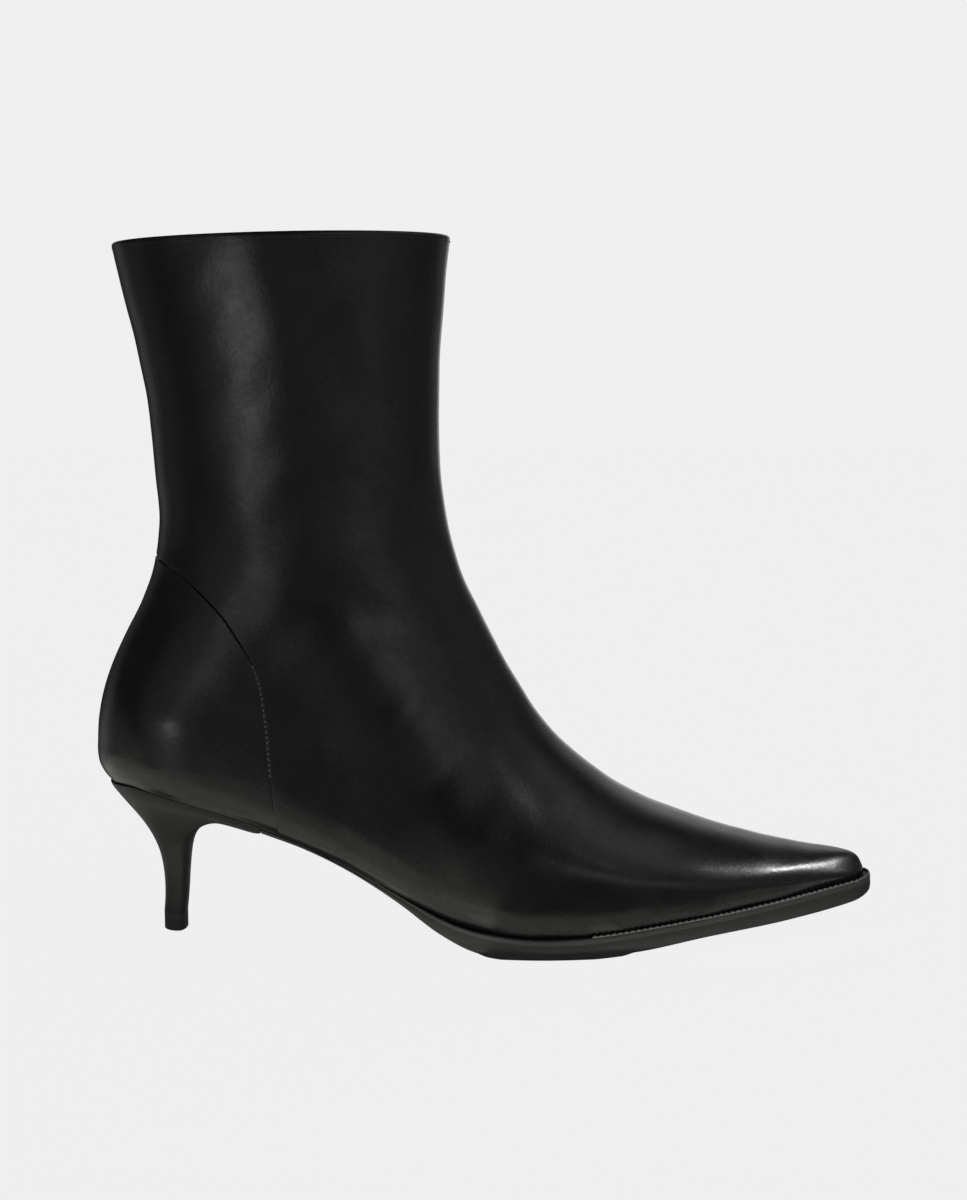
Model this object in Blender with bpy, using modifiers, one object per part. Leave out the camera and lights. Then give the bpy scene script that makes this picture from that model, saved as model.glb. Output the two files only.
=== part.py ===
"""Low heel ankle boot with a pointed toe, for the right foot.

Metres, +Z up. The toe points to +X and the outer side of the foot to -Y. The origin is on the floor under the
middle of the boot's box. The tables give shares of the driving dimensions, or millimetres where a name says so.
The feather line is the edge where the upper meets the sole.
"""

import math

import bmesh
import bpy
import numpy as np

MM = 0.001

# Driving dimensions, in millimetres.
LENGTH = 267.0
BALL_WIDTH = 76.0
HEEL_HEIGHT = 53.0
INSTEP_HEIGHT = 97.0
COLLAR_HEIGHT = 236.8
WALL = 2.0
FIT = 0.3

# Thin layers and small steps, in millimetres. Points of the two sides that are nearer than JOINED are one point.
COUNTER_THICKNESS = 0.7
INSOLE_THICKNESS = 2.2
INSOLE_BEVEL = 1.0
INSOLE_CLEARANCE = 0.45
WELT_TUCK = 6.0
WELT_BEVEL = 0.7
WELT_BEVEL_SHARE = 0.5
SOLE_BEVEL = 1.2
PAD_THICKNESS = 0.9
PAD_INSET = 1.0
LIFT_HEIGHT = 6.2
LIFT_BEVEL = 0.4
HEEL_FLUSH = 0.4
JOINED = 0.01

# Where pieces start and end, as shares of the length from the back of the heel.
HEEL_LIP = 0.221
PAD_ENDS = (0.479, 0.693)
BEHIND_HEEL = -0.1
MIDDLE = 0.5

# Points along one side of each outline. Rings up the upper: from one girth to another, and how many.
UPPER_SIDE_POINTS = 27
RING_BANDS = (
    ("feather", "vamp", 16),
    ("vamp", "throat", 8),
    ("throat", "collar", 6),
)
SOLE_SIDE_POINTS = 40
WELT_SKIPPED_POINTS = 6
INSOLE_SIDE_POINTS = 40
PAD_SIDE_POINTS = 12
HEEL_SIDE_POINTS = 14
HEEL_RINGS = 16
SEAM_POINTS = 16
TOE_CROWDING = 1.5
SHARP_ANGLE = math.radians(35)

# Height of the feather line: share of the length, share of the heel height.
FEATHER = (
    (0.014, 1.006),
    (0.055, 1.023),
    (0.092, 0.993),
    (0.134, 0.942),
    (0.179, 0.876),
    (0.236, 0.775),
    (0.316, 0.590),
    (0.392, 0.387),
    (0.462, 0.224),
    (0.537, 0.155),
    (0.608, 0.151),
    (0.723, 0.201),
    (0.853, 0.270),
    (0.992, 0.373),
)

# Half widths of the feather line seen from above, before its ends are rounded: share of the length, then the
# outer and the inner side as shares of the ball width.
PLAN = (
    (0.000, 0.368, 0.368),
    (0.141, 0.368, 0.368),
    (0.216, 0.366, 0.336),
    (0.291, 0.370, 0.293),
    (0.366, 0.400, 0.298),
    (0.442, 0.447, 0.350),
    (0.517, 0.487, 0.425),
    (0.572, 0.500, 0.476),
    (0.632, 0.484, 0.500),
    (0.693, 0.445, 0.480),
    (0.768, 0.371, 0.405),
    (0.856, 0.263, 0.276),
    (0.938, 0.153, 0.153),
    (0.992, 0.084, 0.084),
)

# Girths of the upper, from the feather line to the collar. Along: share of the length. Front rise: 0 at the toe's
# feather line, 1 at the instep, 2 at the collar. Back rise: 0 at the heel seat, 1 at the collar. Sag: how much the
# girth dips with the feather line. Nose and heel: shares of the girth that round in at its front and back. Bulge:
# millimetres out from the feather line. Leg: how far the leg's width takes over from the foot's. Calf: the leg's
# half width as a share of the ball width.
GIRTH_COLUMNS = ("front_along", "front_rise", "back_along", "back_rise", "sag", "nose", "heel", "bulge", "leg", "calf")
GIRTHS = {
    "feather": (0.9917, 0.000, 0.0187, 0.000, 1.00, 0.027, 0.145, 0.0, 0.00, 0.41),
    "toe tip": (0.9884, 0.042, 0.0090, 0.019, 0.97, 0.050, 0.145, 1.4, 0.00, 0.41),
    "toe crown": (0.9727, 0.094, 0.0041, 0.044, 0.93, 0.170, 0.146, 2.2, 0.00, 0.41),
    "toe": (0.9090, 0.127, 0.0037, 0.076, 0.85, 0.250, 0.150, 2.3, 0.00, 0.41),
    "vamp": (0.7966, 0.223, 0.0094, 0.142, 0.68, 0.380, 0.170, 2.2, 0.03, 0.41),
    "ball": (0.6768, 0.388, 0.0221, 0.207, 0.48, 0.470, 0.216, 1.8, 0.15, 0.41),
    "low instep": (0.5794, 0.667, 0.0476, 0.286, 0.28, 0.474, 0.293, 1.0, 0.45, 0.42),
    "instep": (0.5176, 1.000, 0.0738, 0.368, 0.12, 0.480, 0.380, 0.0, 0.80, 0.42),
    "throat": (0.4689, 1.193, 0.0854, 0.469, 0.03, 0.500, 0.480, 0.0, 1.00, 0.413),
    "ankle": (0.4446, 1.393, 0.0835, 0.546, 0.00, 0.500, 0.500, 0.0, 1.00, 0.408),
    "shaft": (0.4412, 1.637, 0.0730, 0.723, 0.00, 0.500, 0.500, 0.0, 1.00, 0.421),
    "cuff": (0.4476, 1.866, 0.0468, 0.895, 0.00, 0.500, 0.500, 0.0, 1.00, 0.447),
    "collar": (0.4558, 2.000, 0.0333, 0.985, 0.00, 0.500, 0.500, 0.0, 1.00, 0.464),
}

# Swell of the upper over the waist of the sole: share of the length, then how many times its bulge the outer and the
# inner side stand out.
SWELL = (
    (0.000, 1.0, 1.0),
    (0.100, 1.2, 1.2),
    (0.200, 1.9, 1.5),
    (0.290, 2.7, 1.8),
    (0.370, 2.7, 1.8),
    (0.450, 2.0, 1.5),
    (0.530, 1.3, 1.1),
    (0.620, 1.0, 1.0),
    (1.000, 1.0, 1.0),
)

# Front edge of the heel counter from the side: share of the length, share of the collar height.
COUNTER_SEAM = (
    (0.000, 0.578),
    (0.094, 0.543),
    (0.142, 0.506),
    (0.169, 0.478),
    (0.191, 0.449),
    (0.216, 0.408),
    (0.224, 0.380),
    (0.230, 0.337),
    (0.235, 0.250),
    (0.243, 0.140),
)
COUNTER_LEVELS = (0.1, 8.9)
COUNTER_REACH = 0.45

# Outsole: share of the length, millimetres that its edge stands out from the feather line, and the height of its
# underside as a share of the heel height.
OUTSOLE = (
    (0.221, -0.3, 0.753),
    (0.272, -0.8, 0.653),
    (0.332, -0.6, 0.508),
    (0.392, 0.3, 0.326),
    (0.445, 1.4, 0.143),
    (0.482, 2.0, 0.055),
    (0.519, 2.3, 0.022),
    (0.632, 2.3, 0.022),
    (0.692, 2.3, 0.045),
    (0.767, 2.3, 0.094),
    (0.887, 2.3, 0.158),
    (1.000, 2.3, 0.238),
)

# Thickness of the welt, skived at its ends: share of the length, millimetres.
WELT = (
    (0.300, 0.5),
    (0.376, 0.5),
    (0.457, 1.3),
    (0.538, 1.5),
    (1.000, 1.5),
)

# Heel block from the seat down: its back and front points as shares of the length and of the heel height, how far
# it follows the seat, the shares that round in at front and back, and its half width in millimetres.
HEEL_COLUMNS = ("back_along", "back_rise", "front_along", "front_rise", "seat", "nose", "heel", "width")
HEEL_SECTIONS = {
    "seat": (0.0172, 1.013, 0.2210, 0.806, 1.00, 0.004, 0.69, 28.0),
    "edge": (0.0191, 0.985, 0.2210, 0.753, 0.97, 0.004, 0.69, 27.0),
    "lip": (0.0266, 0.936, 0.1955, 0.785, 0.70, 0.020, 0.68, 22.5),
    "flare": (0.0378, 0.862, 0.1674, 0.800, 0.42, 0.080, 0.68, 18.8),
    "throat": (0.0513, 0.774, 0.1431, 0.757, 0.20, 0.160, 0.68, 14.6),
    "neck": (0.0629, 0.685, 0.1277, 0.687, 0.07, 0.220, 0.70, 11.2),
    "stem": (0.0715, 0.594, 0.1190, 0.604, 0.00, 0.260, 0.70, 8.6),
    "shin": (0.0772, 0.500, 0.1158, 0.500, 0.00, 0.280, 0.70, 7.0),
    "waist": (0.0809, 0.377, 0.1136, 0.377, 0.00, 0.280, 0.70, 6.0),
    "ankle": (0.0816, 0.245, 0.1120, 0.245, 0.00, 0.280, 0.70, 5.5),
    "foot": (0.0798, 0.123, 0.1094, 0.123, 0.00, 0.280, 0.70, 5.5),
}

# Colours, roughness and metallic value of each piece.
FINISHES = {
    "upper": ((0.011, 0.011, 0.012), 0.42, 0.0),
    "heel_counter": ((0.012, 0.012, 0.013), 0.42, 0.0),
    "insole": ((0.16, 0.13, 0.10), 0.75, 0.0),
    "welt": ((0.030, 0.029, 0.029), 0.55, 0.0),
    "outsole": ((0.024, 0.024, 0.025), 0.60, 0.0),
    "tread_pad": ((0.020, 0.020, 0.020), 0.80, 0.0),
    "heel": ((0.028, 0.028, 0.030), 0.45, 0.0),
    "top_lift": ((0.018, 0.017, 0.017), 0.70, 0.0),
}


def clear_scene():
    """Removes the objects that a new file starts with."""
    for thing in list(bpy.data.objects):
        bpy.data.objects.remove(thing, do_unlink=True)


def smooth(rows, column, at):
    """Value of a table's column on a smooth curve through its rows, carried on straight past its ends."""
    table = np.asarray(rows, dtype=float)
    places = table[:, 0]
    values = table[:, column]
    steps = np.diff(places)
    climbs = np.diff(values) / steps
    slopes = np.empty(len(places))
    slopes[0] = climbs[0]
    slopes[-1] = climbs[-1]
    slopes[1:-1] = (climbs[:-1] * steps[1:] + climbs[1:] * steps[:-1]) / (steps[:-1] + steps[1:])
    if at <= places[0]:
        return float(values[0] + slopes[0] * (at - places[0]))
    if at >= places[-1]:
        return float(values[-1] + slopes[-1] * (at - places[-1]))
    row = int(np.searchsorted(places, at) - 1)
    step = steps[row]
    u = (at - places[row]) / step
    rise = values[row + 1] - values[row]
    lead = slopes[row] * step - rise
    tail = rise - slopes[row + 1] * step
    return float(values[row] + rise * u + u * (1 - u) * (lead * (1 - u) + tail * u))


def numbered(sections):
    """Rows of a table of sections with the section's number as the first column."""
    return [(number,) + values for number, values in enumerate(sections.values())]


def section_at(sections, columns, level):
    """Named values of the section at a level, between whole numbers for in-between sections."""
    rows = numbered(sections)
    return {name: smooth(rows, index + 1, level) for index, name in enumerate(columns)}


def along_to_x(along):
    """Millimetres from the middle of the boot for a share of its length."""
    return (along - MIDDLE) * LENGTH


def x_to_along(x):
    """Share of the length for a place in millimetres."""
    return x / LENGTH + MIDDLE


def mix(low, high, share):
    """Value part of the way from low to high."""
    return low + (high - low) * share


FEATHER_GIRTH = dict(zip(GIRTH_COLUMNS, GIRTHS["feather"]))
FEATHER_FRONT = along_to_x(FEATHER_GIRTH["front_along"])
FEATHER_BACK = along_to_x(FEATHER_GIRTH["back_along"])


def rounding(depth, reach):
    """Share of the full width at a depth behind an end that rounds in over a reach."""
    gone = 1.0 - min(max(depth, 0.0) / reach, 1.0)
    return math.sqrt(max(1.0 - gone * gone, 0.0))


def feather_height(x):
    """Height of the feather line."""
    return HEEL_HEIGHT * smooth(FEATHER, 1, x_to_along(x))


def full_half_width(x, side):
    """Half width of the foot's plan before its ends are rounded; side is -1 for outer and 1 for inner."""
    column = 1 if side < 0 else 2
    return BALL_WIDTH * smooth(PLAN, column, x_to_along(x))


def swell(x, side):
    """How many times its bulge the upper stands out; side is -1 for outer and 1 for inner."""
    column = 1 if side < 0 else 2
    return smooth(SWELL, column, x_to_along(x))


def plan_half_width(x, side, out):
    """Half width of the feather line from above, moved out by a number of millimetres."""
    length = FEATHER_FRONT - FEATHER_BACK
    nose = FEATHER_GIRTH["nose"] * length
    heel = FEATHER_GIRTH["heel"] * length
    full = max(full_half_width(x, side) + out, FIT)
    return full * rounding(FEATHER_FRONT + out - x, nose) * rounding(x - FEATHER_BACK + out, heel)


def spread(count):
    """Shares from 0 to 1 that crowd at both ends."""
    return [0.5 - 0.5 * math.cos(math.pi * step / count) for step in range(count + 1)]


def toe_spread(count):
    """Shares from 0 to 1 that crowd at 1."""
    return [1.0 - (1.0 - step / count) ** TOE_CROWDING for step in range(count + 1)]


def closed_loop(outer, inner):
    """One loop of points: rear to front on the outer side, then front to rear on the inner side."""
    joined_rear = abs(outer[0][1]) < JOINED
    joined_front = abs(outer[-1][1]) < JOINED
    back_again = inner[::-1]
    return outer + back_again[int(joined_front): len(inner) - int(joined_rear)]


def front_height(rise):
    """Height of a point of the front ridge from its rise."""
    if rise <= 1.0:
        return mix(feather_height(FEATHER_FRONT), INSTEP_HEIGHT, rise)
    return mix(INSTEP_HEIGHT, COLLAR_HEIGHT, rise - 1.0)


def feather_dip(share):
    """How far the feather line lies below the straight line between its ends."""
    straight = mix(feather_height(FEATHER_BACK), feather_height(FEATHER_FRONT), share)
    return feather_height(mix(FEATHER_BACK, FEATHER_FRONT, share)) - straight


def girth_point(girth, share, side):
    """Point of a girth at a share of the way from its back to its front."""
    back_x = along_to_x(girth["back_along"])
    front_x = along_to_x(girth["front_along"])
    back_z = mix(feather_height(FEATHER_BACK), COLLAR_HEIGHT, girth["back_rise"])
    x = mix(back_x, front_x, share)
    z = mix(back_z, front_height(girth["front_rise"]), share) + girth["sag"] * feather_dip(share)
    foot = full_half_width(x, side) + girth["bulge"] * swell(x, side)
    half = mix(foot, BALL_WIDTH * girth["calf"], min(max(girth["leg"], 0.0), 1.0))
    return (x, side * half * rounding(1.0 - share, girth["nose"]) * rounding(share, girth["heel"]), z)


def ring_levels():
    """Levels of the upper's rings, closer together where the toe turns."""
    names = list(GIRTHS)
    levels = []
    for first, last, count in RING_BANDS:
        low = names.index(first)
        high = names.index(last)
        levels += [mix(low, high, step / count) for step in range(count)]
    return levels + [len(names) - 1]


def upper_loop(level, shares):
    """Loop of points round the upper at a level of the table of girths."""
    girth = section_at(GIRTHS, GIRTH_COLUMNS, level)
    outer = [girth_point(girth, share, -1) for share in shares]
    inner = [girth_point(girth, share, 1) for share in shares]
    return closed_loop(outer, inner)


def heel_loop(level, shares, lowered):
    """Loop of points round the heel block at a level of its table, lowered by the fit."""
    section = section_at(HEEL_SECTIONS, HEEL_COLUMNS, level)
    back_x = along_to_x(section["back_along"])
    front_x = along_to_x(min(section["front_along"], HEEL_LIP))
    back_z = HEEL_HEIGHT * section["back_rise"]
    front_z = HEEL_HEIGHT * section["front_rise"]
    seat = min(max(section["seat"], 0.0), 1.0)
    seat_back = feather_height(back_x)
    seat_front = feather_height(front_x)
    sides = []
    for side in (-1, 1):
        points = []
        for share in shares:
            x = mix(back_x, front_x, share)
            dip = feather_height(x) - mix(seat_back, seat_front, share)
            half = mix(section["width"], full_half_width(x, side) + HEEL_FLUSH, seat)
            half *= rounding(1.0 - share, section["nose"]) * rounding(share, section["heel"])
            z = min(mix(back_z, front_z, share) + seat * dip, feather_height(x))
            points.append((x, side * half, z - lowered))
        sides.append(points)
    return closed_loop(*sides)


def plan_loop(shares, rear, reach, height, front=None):
    """Loop of the feather line from above, moved out by a reach and set at heights, which may both vary with x."""
    if front is None:
        front = FEATHER_FRONT + reach(FEATHER_FRONT)
    sides = []
    for side in (-1, 1):
        places = [mix(rear, front, share) for share in shares]
        sides.append([(x, side * plan_half_width(x, side, reach(x)), height(x)) for x in places])
    return closed_loop(*sides)


def welt_thickness(x):
    """Thickness of the welt, which is also the depth of its seat in the outsole."""
    return smooth(WELT, 1, x_to_along(x))


def sole_reach(x):
    """How far the outsole's edge stands out from the feather line."""
    return smooth(OUTSOLE, 1, x_to_along(x))


def sole_underside(x):
    """Height of the outsole's underside, flat over the tread pad."""
    return max(HEEL_HEIGHT * smooth(OUTSOLE, 2, x_to_along(x)), PAD_THICKNESS + FIT)


def material_for(name):
    """Principled material of a piece, from the table of finishes."""
    colour, roughness, metallic = FINISHES[name]
    material = bpy.data.materials.new(name)
    material.use_nodes = True
    shader = material.node_tree.nodes["Principled BSDF"]
    shader.inputs["Base Color"].default_value = (*colour, 1.0)
    shader.inputs["Roughness"].default_value = roughness
    shader.inputs["Metallic"].default_value = metallic
    material.diffuse_color = (*colour, 1.0)
    return material


def new_collection(name):
    """Collection linked to the scene."""
    collection = bpy.data.collections.new(name)
    bpy.context.scene.collection.children.link(collection)
    return collection


def add_piece(name, form, collection, closed=True):
    """Object made from a bmesh, shaded smooth, with its own material."""
    if closed:
        bmesh.ops.recalc_face_normals(form, faces=form.faces)
    mesh = bpy.data.meshes.new(name)
    form.to_mesh(mesh)
    form.free()
    mesh.shade_smooth()
    mesh.set_sharp_from_angle(angle=SHARP_ANGLE)
    piece = bpy.data.objects.new(name, mesh)
    collection.objects.link(piece)
    if name in FINISHES:
        mesh.materials.append(material_for(name))
    return piece


def add_loop(form, points):
    """Vertices of one loop, from millimetres."""
    return [form.verts.new((x * MM, y * MM, z * MM)) for x, y, z in points]


def bridge(form, low, high, wrap=True):
    """Faces between two loops with the same number of points."""
    count = len(low)
    for here in range(count if wrap else count - 1):
        there = (here + 1) % count
        form.faces.new((low[here], low[there], high[there], high[here]))


def close_across(form, loop, joined_front=True):
    """Faces across a loop between the points of its two sides, which share x."""
    count = len(loop)
    half = count // 2 if joined_front else count // 2 - 1
    last = 2 * half if joined_front else count - 1
    for here in range(half):
        corners = (loop[here], loop[here + 1], loop[(last - here - 1) % count], loop[(last - here) % count])
        form.faces.new(list(dict.fromkeys(corners)))


def lofted(loops, joined_front=True):
    """Closed form through loops, from the first to the last."""
    form = bmesh.new()
    rings = [add_loop(form, loop) for loop in loops]
    for low, high in zip(rings, rings[1:]):
        bridge(form, low, high)
    close_across(form, rings[0], joined_front)
    close_across(form, rings[-1], joined_front)
    return form


def make_upper(collection):
    """Vamp and shaft: one hollow wall, open at the collar and underneath."""
    form = bmesh.new()
    shares = spread(UPPER_SIDE_POINTS)
    rings = [add_loop(form, upper_loop(level, shares)) for level in ring_levels()]
    for low, high in zip(rings, rings[1:]):
        bridge(form, low, high)
    upper = add_piece("upper", form, collection, closed=False)
    wall = upper.modifiers.new("wall", "SOLIDIFY")
    wall.thickness = WALL * MM
    wall.offset = -1.0
    wall.use_even_offset = True
    return upper


def counter_cutter(collection):
    """Prism with the side outline of the counter: its front seam, then a box behind and below it."""
    top = COUNTER_SEAM[0]
    bottom = COUNTER_SEAM[-1]
    heights = [mix(top[1], bottom[1], step / SEAM_POINTS) for step in range(SEAM_POINTS + 1)]
    by_height = [(share, along) for along, share in reversed(COUNTER_SEAM)]
    outline = [(along_to_x(smooth(by_height, 1, share)), COLLAR_HEIGHT * share) for share in heights]
    behind = along_to_x(BEHIND_HEEL)
    outline += [(outline[-1][0], 0.0), (behind, 0.0), (behind, outline[0][1])]
    form = bmesh.new()
    near = [form.verts.new((x * MM, -BALL_WIDTH * MM, z * MM)) for x, z in outline]
    face = form.faces.new(near)
    pushed = bmesh.ops.extrude_face_region(form, geom=[face])
    moved = [part for part in pushed["geom"] if isinstance(part, bmesh.types.BMVert)]
    bmesh.ops.translate(form, verts=moved, vec=(0.0, 2 * BALL_WIDTH * MM, 0.0))
    cutter = add_piece("counter_cutter", form, collection)
    cutter.hide_render = True
    cutter.display_type = "WIRE"
    return cutter


def counter_levels():
    """Levels of the counter's rings: those of the upper's rings between its two ends."""
    lowest, highest = COUNTER_LEVELS
    return [lowest] + [level for level in ring_levels() if lowest < level < highest]


def make_counter(collection, cutters):
    """Heel counter: a thin shell over the back of the upper, cut to its seam."""
    form = bmesh.new()
    shares = [share for share in spread(UPPER_SIDE_POINTS) if share <= COUNTER_REACH]
    rings = []
    for level in counter_levels():
        girth = section_at(GIRTHS, GIRTH_COLUMNS, level)
        outer = [girth_point(girth, share, -1) for share in shares]
        inner = [girth_point(girth, share, 1) for share in shares]
        rings.append(add_loop(form, inner[::-1] + outer[1:]))
    for low, high in zip(rings, rings[1:]):
        bridge(form, low, high, wrap=False)
    form.normal_update()
    for vertex in form.verts:
        vertex.co += vertex.normal * FIT * MM
    counter = add_piece("heel_counter", form, collection, closed=False)
    shell = counter.modifiers.new("shell", "SOLIDIFY")
    shell.thickness = COUNTER_THICKNESS * MM
    shell.offset = 1.0
    shell.use_even_offset = True
    cut = counter.modifiers.new("seam", "BOOLEAN")
    cut.operation = "INTERSECT"
    cut.object = counter_cutter(cutters)
    return counter


def make_insole(collection):
    """Insole board: fills the upper's underside, inside its wall."""
    shares = spread(INSOLE_SIDE_POINTS)
    loops = []
    for inset, lift in ((0.0, 0.0), (INSOLE_BEVEL, INSOLE_THICKNESS)):
        tuck = WALL + INSOLE_CLEARANCE + inset
        loops.append(plan_loop(shares, FEATHER_BACK + tuck, lambda x: -tuck, lambda x: feather_height(x) + lift))
    return add_piece("insole", lofted(loops), collection)


def make_welt(collection):
    """Welt: a strip round the forefoot with a bevelled upper edge, skived thin at both ends."""
    shares = toe_spread(SOLE_SIDE_POINTS)
    rear = along_to_x(HEEL_LIP) + FIT

    def top(x):
        return feather_height(x) - FIT

    def bevel(x):
        return top(x) - min(WELT_BEVEL, WELT_BEVEL_SHARE * welt_thickness(x))

    def bottom(x):
        return top(x) - welt_thickness(x)

    def tucked(x):
        return -WELT_TUCK

    lines = [
        plan_loop(shares, rear, tucked, top),
        plan_loop(shares, rear, lambda x: sole_reach(x) - WELT_BEVEL, top),
        plan_loop(shares, rear, sole_reach, bevel),
        plan_loop(shares, rear, sole_reach, bottom),
        plan_loop(shares, rear, tucked, bottom),
    ]
    form = bmesh.new()
    sections = list(zip(*lines))[WELT_SKIPPED_POINTS: -WELT_SKIPPED_POINTS]
    rings = [add_loop(form, section) for section in sections]
    for near, far in zip(rings, rings[1:]):
        bridge(form, near, far)
    form.faces.new(rings[0])
    form.faces.new(rings[-1])
    return add_piece("welt", form, collection)


def make_outsole(collection):
    """Outsole: from the heel's lip to the toe, with a seat for the welt round its upper edge."""
    shares = toe_spread(SOLE_SIDE_POINTS)
    rear = along_to_x(HEEL_LIP) + FIT

    def platform(x):
        return feather_height(x) - FIT

    def ledge(x):
        return platform(x) - FIT - welt_thickness(x)

    def edge_foot(x):
        return min(sole_underside(x) + SOLE_BEVEL, ledge(x) - FIT)

    def tucked(x):
        return -WELT_TUCK - FIT

    loops = [
        plan_loop(shares, rear, lambda x: sole_reach(x) - SOLE_BEVEL, sole_underside),
        plan_loop(shares, rear, sole_reach, edge_foot),
        plan_loop(shares, rear, sole_reach, ledge),
        plan_loop(shares, rear, tucked, ledge),
        plan_loop(shares, rear, tucked, platform),
    ]
    return add_piece("outsole", lofted(loops), collection)


def make_tread_pad(collection):
    """Tread pad: a thin layer under the ball, flat on the floor at its middle."""
    rear, front = (along_to_x(end) for end in PAD_ENDS)
    shares = [step / PAD_SIDE_POINTS for step in range(PAD_SIDE_POINTS + 1)]

    def reach(x):
        return sole_reach(x) - SOLE_BEVEL - PAD_INSET

    loops = []
    for drop in (FIT + PAD_THICKNESS, FIT):
        loops.append(plan_loop(shares, rear, reach, lambda x: sole_underside(x) - drop, front))
    return add_piece("tread_pad", lofted(loops, joined_front=False), collection)


def make_heel(collection):
    """Heel block: wide at the seat, with a lip under the waist, curving in to a slim stem."""
    shares = spread(HEEL_SIDE_POINTS)
    top = len(HEEL_SECTIONS) - 1
    levels = [top * step / (HEEL_RINGS - 1) for step in range(HEEL_RINGS)]
    loops = [heel_loop(level, shares, FIT) for level in levels]
    return add_piece("heel", lofted(loops), collection)


def make_top_lift(collection):
    """Top lift: the wearing piece under the heel's stem, with a bevelled foot."""
    shares = spread(HEEL_SIDE_POINTS)
    stem = heel_loop(len(HEEL_SECTIONS) - 1, shares, 0.0)
    middle = sum(point[0] for point in stem) / len(stem)
    loops = []
    length = max(point[0] for point in stem) - min(point[0] for point in stem)
    for height, inset in ((LIFT_HEIGHT - FIT, 0.0), (LIFT_BEVEL, 0.0), (0.0, LIFT_BEVEL)):
        scale = 1.0 - 2.0 * inset / length
        loops.append([(middle + (x - middle) * scale, y * scale, height) for x, y, z in stem])
    return add_piece("top_lift", lofted(loops), collection)


def main():
    """Builds the boot."""
    clear_scene()
    boot = new_collection("ankle_boot")
    cutters = new_collection("cutters")
    make_upper(boot)
    make_counter(boot, cutters)
    make_insole(boot)
    make_welt(boot)
    make_outsole(boot)
    make_tread_pad(boot)
    make_heel(boot)
    make_top_lift(boot)


main()
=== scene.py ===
"""Looks of a low heel ankle boot with a pointed toe, for the right foot.

The forms repeat the boot's own tables and functions in millimetres, at a finer spacing, so each visible piece
lies close to its solid. The toe points to +X and the outer side of the foot to -Y.
"""

import math

import bmesh
import bpy
import numpy as np
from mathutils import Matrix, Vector


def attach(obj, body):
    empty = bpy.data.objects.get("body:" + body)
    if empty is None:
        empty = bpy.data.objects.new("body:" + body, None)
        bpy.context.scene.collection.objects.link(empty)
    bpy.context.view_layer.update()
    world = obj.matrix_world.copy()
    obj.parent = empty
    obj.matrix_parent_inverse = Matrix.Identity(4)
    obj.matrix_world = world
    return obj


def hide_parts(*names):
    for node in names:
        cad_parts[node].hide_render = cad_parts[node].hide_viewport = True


MM = 0.001

# Driving dimensions of the boot, in millimetres.
LENGTH = 267.0
BALL_WIDTH = 76.0
HEEL_HEIGHT = 53.0
INSTEP_HEIGHT = 97.0
COLLAR_HEIGHT = 236.8
WALL = 2.0
FIT = 0.3
MIDDLE = 0.5

COUNTER_THICKNESS = 0.7
INSOLE_CLEARANCE = 0.45
WELT_TUCK = 6.0
SOLE_BEVEL = 1.2
PAD_THICKNESS = 0.9
PAD_INSET = 1.0
LIFT_HEIGHT = 6.2
HEEL_FLUSH = 0.4
HEEL_LIP = 0.221
PAD_ENDS = (0.479, 0.693)
TOE_CROWDING = 1.5

# Height of the feather line, where the upper meets the sole: share of the length, share of the heel height.
FEATHER = (
    (0.014, 1.006),
    (0.055, 1.023),
    (0.092, 0.993),
    (0.134, 0.942),
    (0.179, 0.876),
    (0.236, 0.775),
    (0.316, 0.590),
    (0.392, 0.387),
    (0.462, 0.224),
    (0.537, 0.155),
    (0.608, 0.151),
    (0.723, 0.201),
    (0.853, 0.270),
    (0.992, 0.373),
)

# Half widths of the feather line from above: share of the length, then the outer and the inner side as shares
# of the ball width.
PLAN = (
    (0.000, 0.368, 0.368),
    (0.141, 0.368, 0.368),
    (0.216, 0.366, 0.336),
    (0.291, 0.370, 0.293),
    (0.366, 0.400, 0.298),
    (0.442, 0.447, 0.350),
    (0.517, 0.487, 0.425),
    (0.572, 0.500, 0.476),
    (0.632, 0.484, 0.500),
    (0.693, 0.445, 0.480),
    (0.768, 0.371, 0.405),
    (0.856, 0.263, 0.276),
    (0.938, 0.153, 0.153),
    (0.992, 0.084, 0.084),
)

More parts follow.
